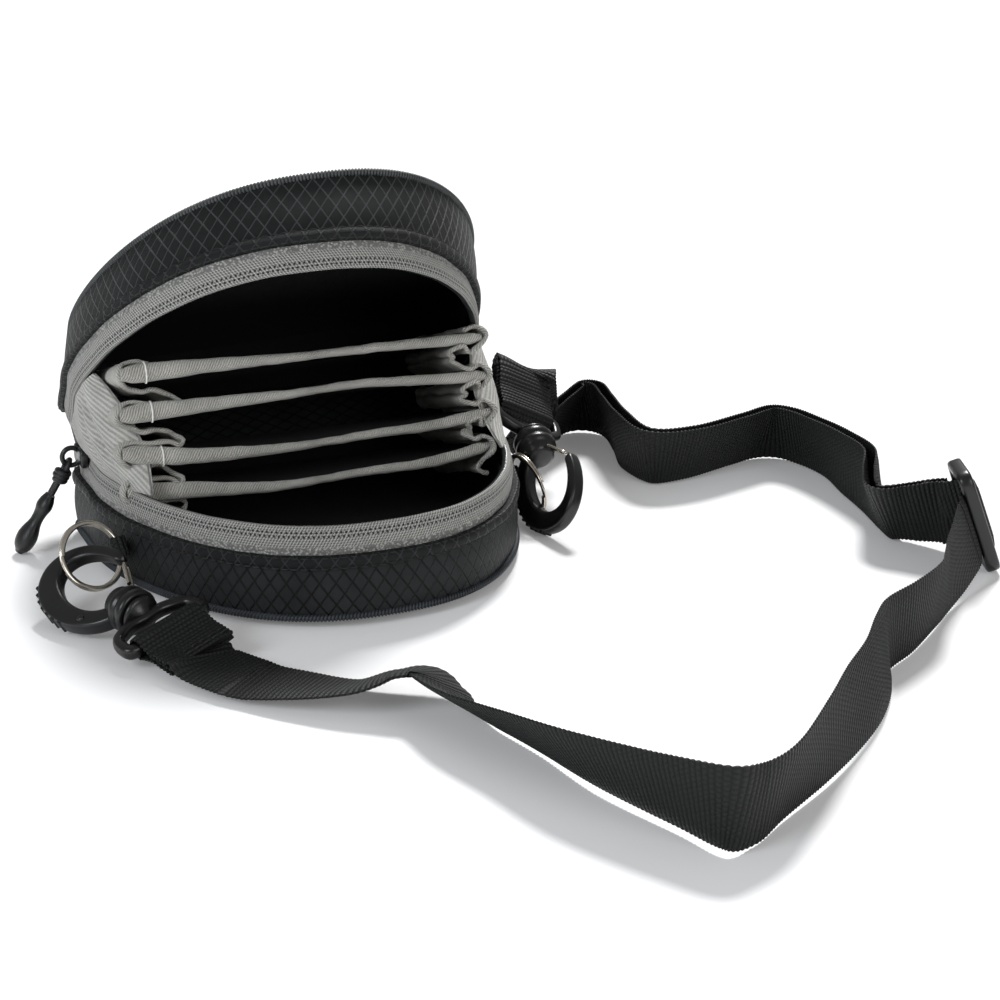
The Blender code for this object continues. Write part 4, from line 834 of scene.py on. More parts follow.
def bellows_corners(reach, depths, low, sleeve, foot):
    """Section of the bellows from above: sleeves at the pages and folds pushed in between them.

    low is the fold's height between two pages, as a share, and foot the last fold's depth and
    the length of its lower lip.
    """
    corners = []
    for index in range(3, -1, -1):
        h = PAGE_HEIGHTS[index]
        x = reach[index] + 0.8 * MM
        corners += [(x - sleeve, h + 2.3 * MM), (x - sleeve * 0.5, h + 3.0 * MM),
                    (x - 1.2 * MM, h + 2.3 * MM), (x, h), (x - 1.5 * MM, h - 2.2 * MM)]
        if index:
            below = PAGE_HEIGHTS[index - 1]
            fold = below + (h - below) * low
            tip = x - depths[index - 1] * MM
            corners += [((x * 1.6 + tip) / 2.6, h - 2.7 * MM - 0.2 * (h - fold)),
                        ((x + tip * 1.6) / 2.6, (h + fold) / 2 + 0.2 * MM),
                        (tip + 0.9 * MM, fold + 1.3 * MM), (tip, fold + 0.3 * MM),
                        (tip + 1.5 * MM, fold - 0.8 * MM),
                        ((tip + reach[index - 1] - 9 * MM) / 2, (fold + below + 2.4 * MM) / 2)]
    tip = reach[0] - foot[0]
    return corners + [((tip + reach[0]) / 2, 8.4 * MM), (tip + 1.2 * MM, 7.4 * MM),
                      (tip, 6.0 * MM), (tip + 1.6 * MM, 4.6 * MM), (tip + foot[1], 4.2 * MM)]


def bellows(name, side, reach, *folds):
    """Canvas bellows that join the pages at one side, folded inwards between them."""
    corners = bellows_corners(reach, *folds)
    line = even(flowing(np.array(corners), 8), 230)
    ahead = unit(np.gradient(line, axis=0))
    away = np.stack((-ahead[:, 1], ahead[:, 0]), -1)
    inward = np.clip((max(reach) - line[:, 0]) / (18 * MM), 0, 1)
    fronts = np.interp(line[:, 1], PAGE_HEIGHTS, REAR_Y - PAGE_REACH)
    near_page = np.exp(-(np.abs(line[:, 1:] - PAGE_HEIGHTS).min(axis=1) / (3.2 * MM)) ** 4)
    fronts = fronts + 2.6 * MM - 4.4 * MM * near_page + 2.2 * MM * inward ** 2
    rows = []
    for d in np.linspace(0.0, 1.0, 13):
        ring = []
        for push in (0.42 * MM, -0.42 * MM):
            flat = line + away * push
            y = fronts * (1 - d) + PAGE_ROOT_Y * d
            shrink = 1.0 - 0.25 * d * inward
            pts = np.column_stack((side * (max(reach) - (max(reach) - flat[:, 0]) * shrink), y,
                                   flat[:, 1]))
            pts += (ripple(pts, 7 * MM, 31.0 + side) * 0.8 * MM)[:, None]
            pts[:, 1] += ripple(pts, 4 * MM, 41.0) * 1.1 * MM * (1 - d)
            pts[:, 0] += ripple(pts, 5 * MM, 47.0) * 0.7 * MM
            turn = np.interp(pts[:, 2], PAGE_HEIGHTS, PAGE_OPEN_DEG)
            ring.append(opened(pts, turn))
        rows.append(np.concatenate((ring[0], ring[1][::-1])))
        if d == 0.0:
            front = (ring[0] + ring[1]) / 2
            ups = ring[0] - ring[1]
    run = lengths(line)
    across = np.concatenate((run, run[::-1], run[:1]))
    depth_run = np.linspace(0.0, 1.0, 13) * (PAGE_ROOT_Y - fronts.mean())
    piece = skin(name + "_bellows", np.stack(rows), CANVAS, u=depth_run, v=across)
    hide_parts(name + "_gusset")
    thick = (0.72 + 0.16 * ripple(front, 2.5 * MM, 61.0))[:, None, None] * MM
    rim = skin(name + "_bellows_rim", carried(front, ups, ringed(1.0, 8)[None] * thick), CANVAS,
               u=run)
    for part in (piece, rim):
        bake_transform(part)


def side_reach(y):
    """Half width of the outline at a depth, forward of the straight sides."""
    back = np.maximum(REAR_Y - y - STRAIGHT_SIDE, 0.0) / (CASE_DEPTH - STRAIGHT_SIDE)
    return HALF_WIDTH * (1 - back ** SIDE_ROUNDNESS) ** (1 / FRONT_ROUNDNESS)


def felt_side(name, side):
    """Soft pale side wall between the two tapes, with the upright creases of its folding."""
    t = np.linspace(0.0, 1.0, 60)
    low_y = REAR_Y - (11.0 + 48.0 * t) * MM
    high_y = REAR_Y - (11.0 + 39.0 * t) * MM
    low = np.column_stack((side * (side_reach(low_y) - 0.9 * MM), low_y, np.full(60, ZIP_LINE)))
    high = opened(np.column_stack((side * (side_reach(high_y) - 0.9 * MM), high_y,
                                   np.full(60, ZIP_LINE))), LID_OPEN_DEG)
    rise = np.linspace(0.0, 1.0, 25)
    swell = 2.6 * MM * np.sin(np.pi * t)[:, None] * np.sin(np.pi * rise)[None]
    crease = np.zeros((60, 25))
    for at, depth, wide, slope in FELT_CREASES:
        crease += depth * MM * np.exp(-((t[:, None] - at - slope * rise) / wide) ** 2)
    crease *= np.sin(np.pi * rise)[None] ** 0.5
    crease += 5.5 * MM * (np.clip((t[:, None] - 0.80) / 0.20, 0, 1) ** 2
                          * np.sin(np.pi * (0.12 + 0.8 * rise)))
    faces = []
    for inside in (0.0, FELT_THICKNESS):
        grid = low[:, None] + (high - low)[:, None] * rise[None, :, None]
        grid[..., 0] += side * (swell - crease - inside)
        grid[..., 0] += side * ripple(grid, 6 * MM, 51.0) * 0.35 * MM
        faces.append(grid)
    slab = np.concatenate((faces[0], faces[1][:, ::-1]), axis=1)
    piece = skin(name + "_felt", slab, FELT, u=lengths(low))
    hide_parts(name + "_felt_side")
    wide = float(np.linalg.norm(high[-1] - low[-1]))
    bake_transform(piece)


# ---- Webbing

def webbing_strip(name, path, ups, width=WEB_WIDTH, thickness=WEB_THICKNESS, offset=0.0):
    """Webbing along a line: cross ribs on both faces, a beaded selvedge and soft edges."""
    count = max(12, round(lengths(path)[-1] / (RIB_PITCH / 5)))
    path, ups = even(path, count, ups)
    _, up, out = framed(path, ups)
    path = path + out * offset
    along = lengths(path)
    beat = np.abs(np.sin(np.pi * along / RIB_PITCH))[:, None]
    places = np.concatenate((np.linspace(-1, 1, 9), np.linspace(1, -1, 9)))
    faces = np.concatenate((np.ones(9), -np.ones(9)))
    soft = 1 - 0.62 * np.abs(places) ** 8
    section = np.empty((count, 18, 2))
    section[..., 0] = places * (width / 2)
    section[..., 0] += np.sign(places) * (np.abs(places) > 0.99) * (beat - 0.6) * SELVEDGE_BEAD
    section[..., 1] = faces * soft * (thickness / 2 + (0.13 * beat - 0.07) * MM)
    v = np.concatenate((np.linspace(0, width, 9), np.linspace(width, 0, 9), (0.0,)))
    grid = path[:, None] + up[:, None] * section[..., :1] + out[:, None] * section[..., 1:]
    return skin(name, grid, WEBBING, u=along, v=v), path


def ground_route(route, side_offset=0.0):
    """Centre line and width directions of webbing that stands or lies on the ground."""
    rows = flowing(np.array(route, float) * (MM, MM, MM, math.pi / 180), 16)
    ahead = unit(np.gradient(rows[:, :2], axis=0))
    left = np.column_stack((-ahead[:, 1], ahead[:, 0], np.zeros(len(rows))))
    lean = rows[:, 3]
    height = (FLOOR_CLEARANCE + np.maximum(rows[:, 2], 0) + np.abs(np.cos(lean)) * WEB_WIDTH / 2
              + np.abs(np.sin(lean)) * WEB_THICKNESS / 2)
    ups = left * np.sin(lean)[:, None]
    ups[:, 2] += np.cos(lean)
    return np.column_stack((rows[:, :2], height)) + left * side_offset, ups


# Routes: (x, y, height above the floor, lean in degrees) on the ground, (x, y, z) on the rise
STRAP_LEAD = ((-57.6, -58.2, 5.6), (-55.6, -63.4, 4.6), (-54.0, -67.6, 3.2))
STRAP_LONG_ROUTE = (
    (-53.2, -71.5, 1.2, -96), (-40.7, -85.4, 1.2, -87), (-27.8, -96.4, 0.8, -76),
    (-17.5, -101.0, 3.4, -70), (-12.1, -103.9, 4.6, -72), (-9.9, -107.9, 1.5, -58),
    (-9.6, -113.2, 0.2, -56), (-8.6, -124.4, 0.1, -51), (-4.0, -140.7, 0.0, -43),
    (1.2, -162.0, 0.8, -32), (10.8, -184.0, 0.8, -18), (17.6, -196.8, 1.0, -5),
    (26.4, -196.4, 0.0, -7), (37.6, -190.2, 0.3, -10), (54.6, -178.0, 0.8, 2),
    (69.2, -165.8, 0.6, 12), (82.0, -154.6, 0.4, 14), (92.4, -143.0, 0.5, 13),
    (100.2, -133.6, 0.1, 2), (113.0, -126.6, 0.1, -2), (125.8, -118.0, 0.3, -5),
    (136.6, -107.6, 0.2, 4), (146.6, -99.0, 1.6, 12), (155.1, -91.4, 3.6, 19))
STRAP_FRONT_ROUTE = (
    (161.4, -73.0, 3.0, 10), (159.4, -69.8, 2.5, 14), (154.6, -63.8, 1.2, 22),
    (150.0, -56.6, 0.3, 28), (153.8, -46.0, 0.0, 18), (160.6, -31.0, 0.2, 2),
    (163.4, -15.0, 0.1, 5), (165.2, 0.8, 0.2, 15),
    (163.6, 13.6, 0.4, 17), (158.4, 20.4, 0.7, 21), (145.6, 17.4, 0.6, 23),
    (126.2, 12.6, 0.2, 22), (112.0, 15.2, 0.0, 18), (110.6, 32.6, 0.5, 9),
    (115.4, 50.0, 0.6, 13), (118.6, 64.0, 0.9, 15), (114.6, 70.2, 0.9, 22),
    (104.6, 63.6, 0.5, 27), (97.4, 58.6, 0.1, 31), (91.0, 53.6, 0.1, 33))
RIGHT_RISE_ROUTE = (
    (76.4, 31.6, 35.0), (77.6, 34.6, 37.0), (79.4, 38.2, 35.0),
    (81.2, 41.2, 28.6), (83.6, 45.0, 20.4), (87.0, 49.6, 13.6))
WRAP_ROUTE = (
    (-4.0, -12.0), (-2.6, -8.4), (-2.6, -6.0), (-1.6, -4.4), (1.6, -3.2), (2.6, -1.8),
    (2.8, 0.0), (2.6, 1.8), (1.6, 3.2), (-1.6, 4.4), (-4.4, 6.0), (-7.0, 8.0), (-9.4, 10.6))
BUCKLE_HALF_WIDTH = 14.0 * MM
BUCKLE_HALF_LENGTH = 6.9 * MM
GRIP_RIDGE = 1.6 * MM
GLIDE_FRAME = axes_of(np.array((163.6, -81.6, 15.2)) * MM, (0.33, -0.13, -0.93), (0.40, 0.92, 0.0))


def strap(name, node, path, ups):
    """A strip of webbing that takes a CAD node's place and hangs on the case."""
    piece, line = webbing_strip(name, path, ups)
    stand_in(piece, node)


def straps():
    """The webbing in three runs; gives the last line's end, its heading and its width."""
    path, ups = ground_route(STRAP_LONG_ROUTE)
    lead = np.array(STRAP_LEAD) * MM
    path = np.concatenate((flowing(np.concatenate((lead, path[8:9])), 8)[:-1], path[8:]))
    ups = np.concatenate((np.broadcast_to(ups[8], (24, 3)), ups[8:]))
    strap("long_strap_webbing", "strap_long", path, ups)
    path, ups = ground_route(STRAP_FRONT_ROUTE)
    strap("front_strap_webbing", "strap_front_layer", path, ups)
    strap("back_strap_webbing", "strap_back_layer",
          *ground_route(STRAP_FRONT_ROUTE, -LAYER_OFFSET))
    return path[-1], unit(path[-1] - path[-3]), ups[-1]


def rise(own, bar_at, tail_direction, tail_length, end, ahead, end_up):
    """Two layers of webbing that climb to the right eye and turn a quarter on the way."""
    across = own[:3, 1]
    tail = unit(tail_direction - across * across.dot(tail_direction))
    start = own[:3, 3] + own[:3, 0] * bar_at + tail * (tail_length + 0.3 * MM)
    middle = end + np.array((ahead[1], -ahead[0], 0.0)) * LAYER_OFFSET / 2
    path = flowing([start - tail * 4 * MM, start, *(np.array(RIGHT_RISE_ROUTE) * MM),
                    middle - ahead * 2.0 * MM, middle - ahead * 6.0 * MM], 16)
    share = np.clip(np.linspace(-0.75, 1.15, len(path))[:, None], 0, 1)
    ease = share * share * (3 - 2 * share)
    ups = unit(-across * (1 - ease) + end_up * ease)
    for name, offset in (("rise_webbing", RISE_LAYER / 2), ("rise_under_webbing", -RISE_LAYER / 2)):
        piece, line = webbing_strip(name, path, ups, thickness=1.25 * MM, offset=offset)
        if offset > 0:
            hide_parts("strap_rise")
        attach(piece, "lower_shell")


def web_loop(name, node, own, bar_at, tail_direction, tail_length, inner,
             thickness=WEB_THICKNESS, width=WEB_WIDTH):
    """Webbing turned round a bar, its two layers sewn together beyond it."""
    centre = own[:3, 3] + own[:3, 0] * bar_at
    across = own[:3, 1]
    tail = np.asarray(tail_direction, float)
    tail = unit(tail - across * across.dot(tail))
    normal = np.cross(tail, across)
    middle = inner + thickness / 2
    half = thickness * 0.56
    rows = [(tail_length, half), (tail_length * 0.7, half), (middle + 2.4 * thickness, half)]
    ends = [(along, -out) for along, out in rows[::-1]]
    rows += [(middle * math.cos(t), middle * math.sin(t))
             for t in np.radians(np.linspace(50.0, 310.0, 22))]
    flat = flowing(rows + ends, 6)
    path = centre + flat[:, :1] * tail + flat[:, 1:] * normal
    strip, _ = webbing_strip(name + "_strip", path, np.broadcast_to(across, path.shape), width,
                             thickness)
    parts = [strip]
    inset = width / 2 - 1.8 * MM
    last = tail_length - 1.6 * MM
    for face in (1.0, -1.0):
        if last - middle - 3.0 * thickness < 3 * MM:
            break
        for number, (at, way) in enumerate(((last, -inset), (last - 1.3 * MM, inset))):
            run = np.array([centre + tail * at + across * b + normal * (thickness * 1.12 * face)
                            for b in (way, -way)])
            parts.append(seam_row(f"{name}_sewn_{number}", run, normal * face, STITCH,
                                  STITCH_STEP, THREAD))
    stand_in(gathered(name + "_webbing", parts), node)


def buckle():
    """Slider buckle: a rounded frame, its centre bar with grip ridges, and the webbing's turn."""
    turn = np.linspace(0, 2 * np.pi, 160, endpoint=False)
    c, s = np.cos(turn), np.sin(turn)
    line = np.stack((np.sign(c) * np.abs(c) ** 0.2 * BUCKLE_HALF_WIDTH,
                     np.sign(s) * np.abs(s) ** 0.2 * BUCKLE_HALF_LENGTH, 0 * c), -1)
    line = even(np.concatenate((line, line[:1])), 161)[:-1]
    frame = moulded_bar("frame", line, ACETAL, UP, 16, 0.5, 2.0 * MM, 1.7 * MM, closed=True)
    x = np.linspace(-12.6, 12.6, 90) * MM
    thick = (1.5 + 0.12 * np.cos(x / GRIP_RIDGE * 2 * np.pi)) * MM
    middle = moulded_bar("bar", np.stack((x, 0 * x, 0 * x), -1), ACETAL, UP, 14, 0.7,
                         thick * 0.95, thick)
    stand_in(put(gathered("buckle_frame", [frame, middle]), GLIDE_FRAME), "tri_glide")
    local = flowing(WRAP_ROUTE, 10) * MM
    path = (GLIDE_FRAME[:3, 3] + local[:, 1:] * GLIDE_FRAME[:3, 1]
            + local[:, :1] * GLIDE_FRAME[:3, 2])
    strip, _ = webbing_strip("buckle_turn_webbing", path,
                             np.broadcast_to(GLIDE_FRAME[:3, 0], path.shape))
    stand_in(strip, "strap_wrap")


# ---- Hooks, rings and gates

HOOK_LENGTH = 31.0 * MM
HOOK_WIDTH = 21.5 * MM
HOOK_BAND = 5.0 * MM
HOOK_THICKNESS = 4.6 * MM
HOOK_START_DEG = -16.0
HOOK_SWEEP_DEG = 262.0
RIB_RADIUS = 0.62 * MM
GATE_WIRE = 0.6 * MM
COLLAR_START = 14.5 * MM
EYE_START = 20.0 * MM
EYE_DEPTH = 9.0 * MM
EYE_WIDTH = 27.2 * MM
EYE_WIRE = 1.6 * MM
EYE_SECTION = EYE_WIRE * 1.12
RING_RADIUS = 9.0 * MM
COLLAR_PROFILE = ((10.6, 3.2), (11.5, 4.6), (13.2, 4.9), (14.2, 5.5), (14.7, 6.05), (15.3, 6.2),
                  (16.3, 6.2), (16.6, 5.85), (17.1, 5.85), (17.4, 6.2), (19.0, 6.2),
                  (19.5, 5.95), (19.7, 5.4))
FLANGE_PROFILE = ((20.0, 4.7), (20.4, 5.3), (20.9, 5.4), (21.3, 5.2), (21.6, 4.6), (22.2, 2.9),
                  (23.4, 1.9))
SLIDER_EYE = 2.6 * MM
PULLER_HANGS = (-0.52, 0.07, -0.85)
PULLER_LOOP = ((9.8, 1.05), (2.94, 1.05), (0.32, 1.6), (-1.6, 0.0), (0.32, -1.6), (2.94, -1.05),
               (9.8, -1.05))
CORD_LENGTH = 9.8 * MM
GRIP_LENGTH = 19.3 * MM
GRIP_SHARES = (0.5, 0.72, 0.8, 0.66, 0.60, 0.66, 0.86, 1.0, 1.0, 0.84, 0.4)
EYE_SHAPE = ((0.0, 0.0), (0.0, 0.45), (0.3, 0.9), (0.8, 1.0), (1.0, 0.9), (1.0, 0.4))


def hook_line(steps):
    """The middle of the hook's band, from the collar round to the nose."""
    turn = np.radians(HOOK_START_DEG - HOOK_SWEEP_DEG * np.linspace(0, 1, steps))
    return np.stack((HOOK_LENGTH / 2 * np.cos(turn) * 0.94, HOOK_WIDTH / 2 * np.sin(turn),
                     0 * turn), -1)


def snap_hook(prefix, placing):
    """Moulded hook: a flat band that thins to a rounded nose, a grooved collar and grip ribs."""
    middle = hook_line(120)
    share = np.linspace(0, 1, 120)
    taper = 1.0 - 0.45 * np.maximum(0.0, share - 0.6) / 0.4
    tip = np.sqrt(np.clip(1 - ((share - 0.965) / 0.035) ** 2 * (share > 0.965), 0.02, 1))
    swell = 0.8 * MM * np.sin(np.pi * np.clip(share / 0.8, 0.0, 1.0)) ** 2
    parts = [moulded_bar("band", middle - unit(middle) * swell[:, None], ACETAL, UP, 28, 0.42,
                         HOOK_THICKNESS / 2 * (0.5 + 0.5 * taper) * tip,
                         HOOK_BAND / 2 * taper * tip + swell)]
    parts.append(turned("collar", COLLAR_PROFILE, ACETAL))
    z = np.linspace(-0.42, 0.42, 8) * HOOK_THICKNESS
    for i in range(7):
        turn = math.radians(-84.0 - 58.0 * i / 6)
        spot = np.array(((HOOK_LENGTH / 2 + HOOK_BAND * 0.40) * math.cos(turn) * 0.97,
                         (HOOK_WIDTH / 2 + HOOK_BAND * 0.43) * math.sin(turn), 0.0))
        parts.append(tube("rib", spot + z[:, None] * UP, ACETAL, RIB_RADIUS, (1.0, 0.0, 0.0)))
    pip = turned("pip", [(0.0, 1.05), (0.35, 1.0), (0.6, 0.7), (0.72, 0.2)], ACETAL, 20)
    parts.append(put(pip, axes_of(middle[20] + (0, 0, HOOK_THICKNESS / 2 - 0.15 * MM), UP,
                                  (1, 0, 0))))
    stand_in(put(gathered(prefix + "_hook_body", parts), placing), prefix + "_hook",
             prefix + "_hook_body")

    hinge = np.array((COLLAR_START - HOOK_BAND * 0.6 - 0.9 * MM, 4.6 * MM + 0.9 * MM, 0.0))
    reach = (middle[-1] - hinge) * 0.72
    spread = np.array((0.0, 0.0, 1.2 * MM))
    end = hinge + reach
    path = flowing([hinge + spread, end + spread, end + unit(reach) * 1.2 * MM, end - spread,
                    hinge - spread], 14)
    gate = tube(prefix + "_gate_wire", path, STEEL, GATE_WIRE,
                unit(np.array((-reach[1], reach[0], 0.0))), 12)
    stand_in(put(gate, placing), prefix + "_gate", prefix + "_gate_body")


def swivel_eye(prefix, placing, bar_direction):
    """Eye in the hook's collar: a flange, a stem and a wide D loop."""
    own = axes_of(placing[:3, 3], placing[:3, 0], bar_direction)
    near = EYE_START + 1.6 * MM + EYE_WIRE * 0.9
    corners = [(near + EYE_DEPTH * a, (EYE_WIDTH / 2 - EYE_WIRE) * b, 0.0) for a, b in EYE_SHAPE]
    corners += [(x, -y, 0.0) for x, y, _ in corners[:0:-1]]
    ring = np.array(corners)
    loop = flowing(np.concatenate((ring[-2:], ring, ring[:3])), 12)[24:-24]
    loop = even(loop, 150)[:-1]
    section = ringed(EYE_SECTION, 16, squash=0.9, power=0.75)
    parts = [turned("flange", FLANGE_PROFILE, ACETAL),
             skin("loop", carried(loop, UP, section, closed=True), ACETAL, around=True)]
    stand_in(put(gathered(prefix + "_swivel_eye", parts), own), prefix + "_eye")
    return own, near + EYE_DEPTH


def split_ring(prefix, pivot, reach, tangent):
    """Split ring: two turns of flattened steel wire pressed together."""
    outward = unit(np.array(reach, float))
    along = np.array(tangent, float)
    along = unit(along - outward * along.dot(outward))
    normal = np.cross(outward, along)
    centre = np.array(pivot) + outward * RING_RADIUS
    turn = np.linspace(0.25, 4 * np.pi - 0.25, 200)[:, None]
    step = np.clip((turn / (2 * np.pi) - 1.0) * 6.0, -1.0, 1.0)
    path = (centre + (outward * np.cos(turn) + along * np.sin(turn)) * RING_RADIUS
            + normal * step * 0.42 * MM)
    wire = moulded_bar(prefix + "_ring_wire", path, STEEL, normal, 12, 0.8, 0.40 * MM, 0.72 * MM)
    stand_in(wire, prefix + "_ring", prefix + "_ring_body")


def hook_set(prefix, place, axis, width_direction, bar_direction, tail, tail_length):
    """Hook, gate, eye and the webbing loop round the eye."""
    placing = axes_of(np.array(place) * MM, axis, width_direction)
    snap_hook(prefix, placing)
    own, bar_at = swivel_eye(prefix, placing, bar_direction)
    web_loop(prefix + "_loop", prefix + "_web_loop", own, bar_at, tail, tail_length,
             EYE_SECTION + 0.3 * MM)
    return own, bar_at


def side_tab(prefix, pivot, reach, tangent, tail):
    """Narrow webbing folded round the ring's wire and sewn to the wall."""
    middle = np.array(pivot) + unit(np.array(reach)) * 0.1 * MM
    own = axes_of(middle, np.cross(tangent, tail), tangent)
    web_loop(prefix + "_side_tab", prefix + "_tab", own, 0.0, tail, 14.0 * MM, 1.5 * MM,
             0.9 * MM, 5.6 * MM)


def zip_slider():
    """Painted zip slider with its wire eye, the cord through it, the knot and the grip."""
    y = REAR_Y - 17.0 * MM
    x = -HALF_WIDTH - 0.9 * MM
    along = np.linspace(-5.0, 5.0, 30)
    line = np.stack((0 * along + x, y + along * MM, 0 * along + ZIP_LINE), -1)
    waist = 1.0 - 0.22 * np.exp(-((along - 0.8) / 1.6) ** 2) - 0.5 * (np.abs(along) / 5) ** 8
    block = moulded_bar("block", line, PAINTED_ZINC, UP, 20, 0.5, waist * 3.0 * MM,
                        waist ** 0.5 * 1.2 * MM)
    eye = np.array((x - 2.76 * MM, y, ZIP_LINE))
    turn = np.linspace(0, 2 * np.pi, 48, endpoint=False)[:, None]
    ring = eye + SLIDER_EYE * np.concatenate((np.cos(turn), 0 * turn, np.sin(turn)), axis=1)
    wire = tube("eye", ring, PAINTED_ZINC, 0.75 * MM, (0.0, 1.0, 0.0), closed=True)
    stand_in(gathered("slider_body", [block, wire]), "zip_slider")

    reach = unit(np.array(PULLER_HANGS))
    start = eye + unit(reach * (1.0, 0.0, 1.0)) * SLIDER_EYE
    side = unit(np.array((0.0, 1.0, 0.0)) - reach * reach[1])
    third = np.cross(reach, side)
    path = flowing([start + (reach * a + side * b) * MM for a, b in PULLER_LOOP], 14)
    cord = tube("cord", path, CORD, 0.75 * MM, third, 12)
    turn = np.linspace(0, 5.4 * np.pi, 110)[:, None]
    knot = (start + reach * 3.4 * MM + reach * (turn / (5.4 * np.pi) - 0.5) * 3.0 * MM
            + side * np.cos(turn) * 1.9 * MM + third * np.sin(turn) * 1.5 * MM)
    knot = tube("knot", knot, CORD, 0.95 * MM, reach)
    stand_in(gathered("puller_cord_loop", [cord, knot]), "puller_cord", "puller")
    shares = flowing(np.array(GRIP_SHARES)[:, None], 5)[:, 0]
    at = np.linspace(0, GRIP_LENGTH, len(shares))[:, None]
    grip = moulded_bar("puller_grip_moulding", start + reach * (CORD_LENGTH + 0.3 * MM + at),
                       RUBBER, side, 24, 1.0, shares * 3.9 * MM, shares * 2.8 * MM)
    stand_in(grip, "puller_grip", "puller")


def tacks(pages):
    """White thread tacks across three bindings."""
    turn = np.linspace(-2.4, 2.4, 16)
    for number, (index, x) in enumerate(((3, -46.5), (2, -46.0), (1, -44.0))):
        line, half, degrees = pages[index]
        k = int(np.argmin(np.abs(line[:, 0] - x * MM)))
        arc = np.column_stack((0 * turn + (turn > 2.2) * 0.6 * MM, -np.cos(turn) * 2.15 * MM,
                               np.sin(turn) * (half[k] + 0.25 * MM)))
        piece = tube(f"white_tack_{number + 1}", opened(line[k] + arc, degrees), WHITE_THREAD,
                     0.24 * MM, (1.0, 0.0, 0.0), 8)
        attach(piece, f"page_{index + 1}")


# ---- Everything in order

studio()
# The lower wall's threads are drawn lighter than the lid's: a painted sheen of the coated cloth.
LOWER_CLOTH_PAINTED_SHEEN = ripstop_nylon("coated_ripstop_nylon", "#0a0b0c", "#3f4344", "#010101", -0.8)
# The lid's and the hem's diamond lines are drawn lighter than the lower wall's: a painted highlight
# on the raised threads.
LID_CLOTH_PAINTED_HIGHLIGHT = ripstop_nylon("lid_ripstop_nylon_painted_highlight", "#070808", "#1c1e1e", "#3a3d3e", 0.9)
HEM_CLOTH_PAINTED_HIGHLIGHT = ripstop_nylon("folded_ripstop_nylon_painted_highlight", "#090a0b", "#1a1c1d", "#2a2c2d", 0.6)
TAPE = zip_tape_weave("woven_polyester_zip_tape")
CANVAS = brushed_canvas("brushed_cotton_canvas", "#7b7972", "#dad8cf", rib=0.75, fuzz=0.35)
FELT = brushed_canvas("brushed_felt", "#8a8983", "#d2d1cb", rib=1.6, fuzz=0.3)
LINING_AND_POCKET_SHADE = plain_lining("polyester_lining_and_painted_pocket_shade")
WEBBING = polypropylene_webbing("polypropylene_webbing")
ACETAL = solid_finish("moulded_acetal", "#060607", "#121314", 0.3, 0.35, 0.03)
STEEL = solid_finish("nickel_plated_steel", "#b5ada0", "#ded8cd", 0.2, 1.2, 0.01, metallic=1.0)
PAINTED_ZINC = solid_finish("painted_zinc", "#0c0d0e", "#222325", 0.3, 0.5, 0.02)
COIL_NYLON = solid_finish("coil_nylon", "#0c0d0e", "#3c3e3f", 0.3, 0.4, 0.03)
THREAD = solid_finish("black_sewing_thread", "#060707", "#161718", 0.6, 0.15, 0.06)
WHITE_THREAD = solid_finish("white_sewing_thread", "#d8d6d0", "#f4f3ef", 0.6, 0.15, 0.05)
LOWER_WRAPS = solid_finish("overlock_thread", "#15181c", "#3c4249", 0.55, 0.15, 0.06)
# The lid's overlock thread is the lower one drawn lighter: a painted highlight on the top edge.
LID_WRAPS_PAINTED_HIGHLIGHT = solid_finish("overlock_thread_lid_painted_highlight", "#1c1f20", "#565a5a", 0.55, 0.15, 0.06)
CORD = solid_finish("braided_puller_cord", "#060607", "#131415", 0.45, 0.5, 0.12)
RUBBER = solid_finish("moulded_rubber", "#050606", "#0f1010", 0.42, 0.3, 0.04)

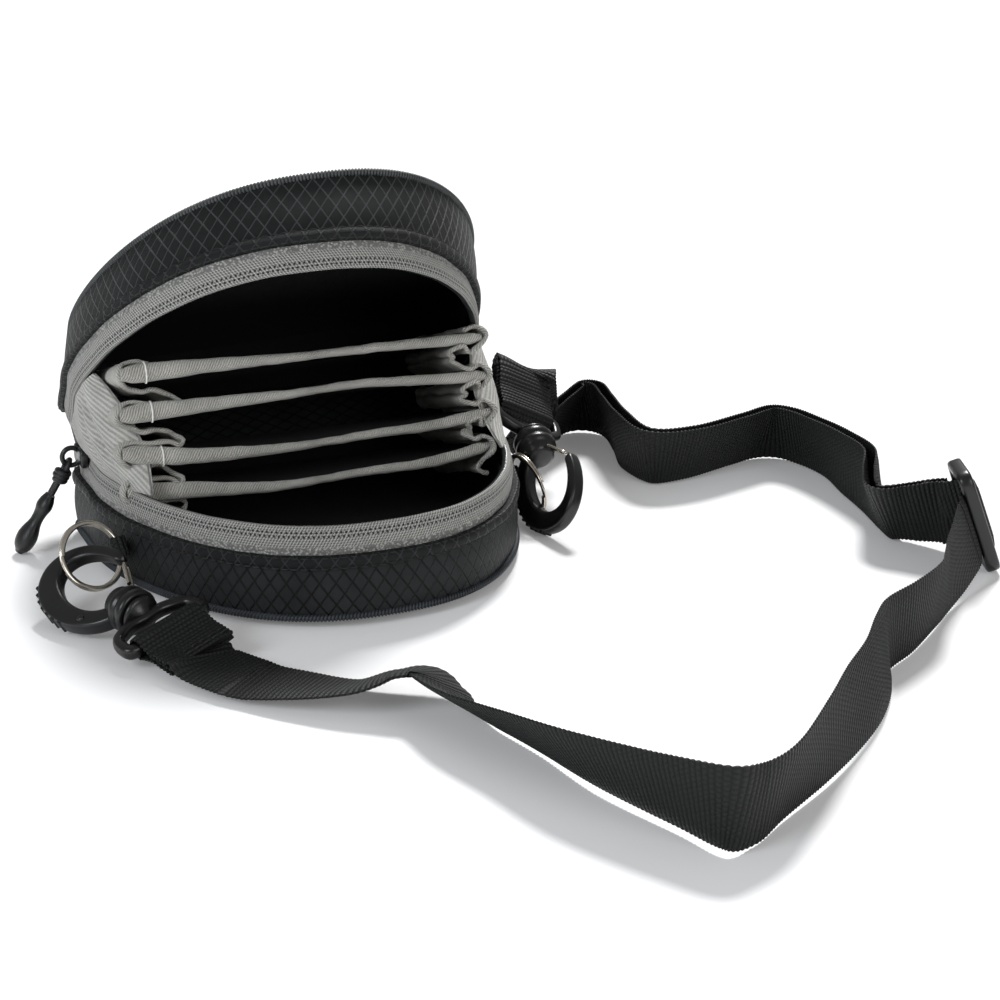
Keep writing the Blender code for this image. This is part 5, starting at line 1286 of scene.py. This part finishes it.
END, AHEAD, END_UP = straps()
SEAM_ROW = seam_row_tree()
WRAP = thread_turn("wrap_thread", THREAD, 12, 0.36, 0.35, 0.72, 0.72, 0.6)
COIL_TURN = thread_turn("coil_turn", COIL_NYLON, 10, 0.34, 0.22, 0.80, 0.50)
STITCH = stitch(2.0 * MM, 0.24 * MM)
PERIMETER, OUTWARD, PERIMETER_RUN = perimeter(PERIMETER_POINTS)
ZIP_PART = np.where(PERIMETER[:, 1] <= REAR_Y - ZIP_END_FROM_REAR)[0]
shell_half("lower", False, "lower_shell", LOWER_CLOTH_PAINTED_SHEEN, HEM_CLOTH_PAINTED_HIGHLIGHT)
shell_half("lid", True, "lid", LID_CLOTH_PAINTED_HIGHLIGHT, HEM_CLOTH_PAINTED_HIGHLIGHT)
back_strip()
PAGES = [page(index) for index in range(4)]
tacks(PAGES)
bellows("left", -1.0, PAGE_LEFT, (17.5, 18.0, 17.5), 0.16, 9.0 * MM, (17.0 * MM, 8.0 * MM))
bellows("right", 1.0, PAGE_RIGHT, (8.5, 8.0, 10.0), 0.66, 6.0 * MM, (4.0 * MM, 3.0 * MM))
felt_side("left", -1.0)
felt_side("right", 1.0)
LEFT_RING = ((-60.89 * MM, -4.9 * MM, 13.34 * MM), (-0.917, -0.399, 0.013),
             (-0.165, 0.431, 0.887))
RIGHT_RING = ((64.9 * MM, 14.4 * MM, 10.4 * MM), (0.102, -0.993, 0.063),
              (-0.253, -0.035, 0.967))
split_ring("left", *LEFT_RING)
split_ring("right", *RIGHT_RING)
side_tab("left", *LEFT_RING, (-0.03, 0.90, -0.44))
side_tab("right", *RIGHT_RING, (-0.15, 0.98, -0.01))
hook_set("left", (-72.5, -22.4, 9.9), (0.39, -0.92, -0.09), (0.80, 0.28, 0.54),
         (0.90, 0.36, 0.21), (0.40, -0.89, -0.17), 13.5 * MM)
RIGHT_TAIL = np.array((0.10, 0.55, 0.83))
EYE, BAR = hook_set("right", (68.6, -4.1, 13.4), (0.13, 0.90, 0.41), (0.45, -0.42, 0.79),
                    (0.88, 0.08, -0.45), RIGHT_TAIL, 6.5 * MM)
rise(EYE, BAR, RIGHT_TAIL, 6.5 * MM, END, AHEAD, END_UP)
buckle()
zip_slider()
for tool in (WRAP, COIL_TURN, STITCH):
    bpy.data.objects.remove(tool, do_unlink=True)

room()
